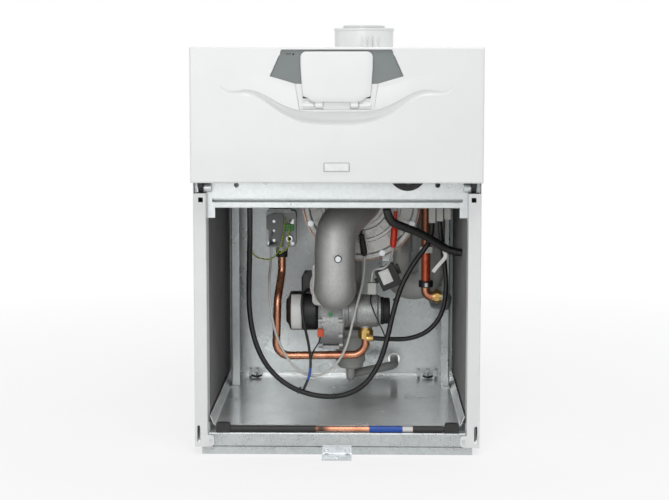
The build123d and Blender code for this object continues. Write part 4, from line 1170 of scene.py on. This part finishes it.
class BOILER_OT_wiring(bpy.types.Operator):
    """Lay the conduits and leads, and finish their plugs and grommets"""

    bl_idname = "boiler.wiring"
    bl_label = "Wiring"

    def execute(self, context):
        settings = settings_for(context, tuple(ROUTES) + ("wiring_plugs", "rubber_grommets"))
        conduit = corrugated(settings)
        white = lead_jacket("white_silicone_lead", "#E2E2DE", "#C9C9C4")
        dark = motor_jacket()
        finishes = {"ionisation_lead": white, "ignition_lead": white, "motor_lead": dark}
        for node, (radius, stops) in ROUTES.items():
            finish = finishes.get(node, conduit)
            ribs = settings.rib_depth if finish is conduit else 0.0
            name = node.replace("_", "-") + "-laid"
            lead(name, radius, stops, finish, ribs, settings.rib_pitch / MM, node)
        striped = earth_jacket()
        lead("earth-lead", 1.5, EARTH_ROUTE, striped)
        lead("earth-tail", 1.5, EARTH_TAIL, striped)
        lead("plug-lead", 1.4, PLUG_LEAD, dark)
        lead("orange-plug-lead", 1.6, ORANGE_LEAD, dark)
        orange = silicone("orange_nylon_plug", "#EC5A26", "#CC431A")
        slab("orange-plug", ORANGE_PLUG, 233.0, 241.0, orange, 1.2)
        paint(("wiring_plugs",), plugs_finish())
        paint(("rubber_grommets",), rubber("black_grommet_rubber"))
        paint(("ignition_transformer",), dark_moulding("black_potting_case"))
        return {"FINISHED"}


class BOILER_OT_labels(bpy.types.Operator):
    """Add the bare labels, the stickers, the tag strip, the wing screws and the cable ties"""

    bl_idname = "boiler.labels"
    bl_label = "Labels and ties"

    def execute(self, context):
        settings_for(context, ("fan_motor", "ignition_transformer"))
        white = bare_label("bare_white_label", "#E9E9E6", "#FFFFFF")
        green = bare_label("green_seal_sticker", "#2E9B5B", "#2E9B5B", 0.4)
        tie = lead_jacket("black_nylon_tie", "#191919", "#0F0F0F")
        motor_band(white)
        label("volute-seal", (-18, 239.6, 268), 9, 9, green, corner=4.4)
        slope = math.radians(-24)
        across = (math.cos(slope), 0, -math.sin(slope))
        up = (math.sin(slope), 0, math.cos(slope))
        label("transformer-label", (105, 282.3, 347), 24, 32, white, across, up)
        label("limit-sensor-label", (196, 305.8, 325), 6, 9, white, corner=0.6)
        ring_about("duct-plug-ring", (0.5, 148.5, 403.5), BACKWARD, 6.6, 2.4, 1.6, tie)
        rim = bare_label("satin_badge_plate", "#B9BBBB", "#B9BBBB", 0.3)
        label("badge-rim", (0, 2.75, 610.75), 53.5, 19.2, rim, corner=2.2, thick=0.3, body="fascia")
        face = bare_label("bare_badge_face", "#DFE0E0", "#FFFFFF", 0.4)
        label("badge-face", (0, 2.42, 610.75), 50, 15.8, face, corner=1.4, thick=0.2, body="fascia")
        label("inset-dash", (-98, 6.4, 841), 11, 1.6, tie, corner=0.7, thick=0.15, body="fascia")
        label("inset-dot", (-88, 6.4, 840.5), 4, 4, tie, corner=1.9, thick=0.3, body="fascia")
        strap("kinked-tag", TAG_STOPS, 8, 0.6, white)
        zinc = zinc_steel()
        for word, x in (("left", -206), ("right", 212)):
            post = spline_points("wing-post-" + word, [(x, 598, 68), (x, 580, 66), (x, 566, 63.5)])
            path, _ = evenly(post, 2 * MM)
            placed(hose("wing-post-" + word, path, 2.0 * MM, 14, ACROSS), zinc)
            ends = [(x + 8, 563, 62.2), (x + 12, 568, 64)]
            bow = [(x - 12, 568, 64), (x - 8, 563, 62.2), (x, 561, 62)] + ends
            strap("wing-" + word, bow, 5, 1.4, tie)
        cable_tie("harness-tie-left", (-88, 225, 99), (0.9, 0, -0.35), tie)
        cable_tie("harness-tie-middle", (-10, 224.4, 88), ACROSS, tie, turn=1.2)
        cable_tie("harness-tie-right", (128, 225.5, 304), (0.25, 0, 1), tie, turn=0.9)
        return {"FINISHED"}


class BOILER_PT_panel(bpy.types.Panel):
    """Buttons and settings for finishing the boiler"""

    bl_idname = "BOILER_PT_panel"
    bl_label = "Boiler"
    bl_space_type = "VIEW_3D"
    bl_region_type = "UI"
    bl_category = "Boiler"

    def draw(self, context):
        column = self.layout.column()
        for name in BoilerSettings.__annotations__:
            column.prop(context.scene.boiler_settings, name)
        for operator in OPERATORS:
            column.operator(operator.bl_idname)


OPERATORS = (
    BOILER_OT_stage, BOILER_OT_wiring, BOILER_OT_casing, BOILER_OT_fascia, BOILER_OT_flue,
    BOILER_OT_burner, BOILER_OT_fan, BOILER_OT_gas, BOILER_OT_water, BOILER_OT_labels,
)
CLASSES = (BoilerSettings,) + OPERATORS + (BOILER_PT_panel,)


def register():
    """Registers the classes and hangs the settings on the scene."""
    for item in CLASSES:
        bpy.utils.register_class(item)
    bpy.types.Scene.boiler_settings = bpy.props.PointerProperty(type=BoilerSettings)


def unregister():
    """Takes away what register added."""
    del bpy.types.Scene.boiler_settings
    for item in reversed(CLASSES):
        bpy.utils.unregister_class(item)


def main():
    """Registers the add-on and runs its operators in order."""
    register()
    bpy.ops.boiler.stage()
    bpy.ops.boiler.wiring()
    bpy.ops.boiler.casing()
    bpy.ops.boiler.fascia()
    bpy.ops.boiler.flue()
    bpy.ops.boiler.burner()
    bpy.ops.boiler.fan()
    bpy.ops.boiler.gas()
    bpy.ops.boiler.water()
    bpy.ops.boiler.labels()


if __name__ == "__main__":
    main()
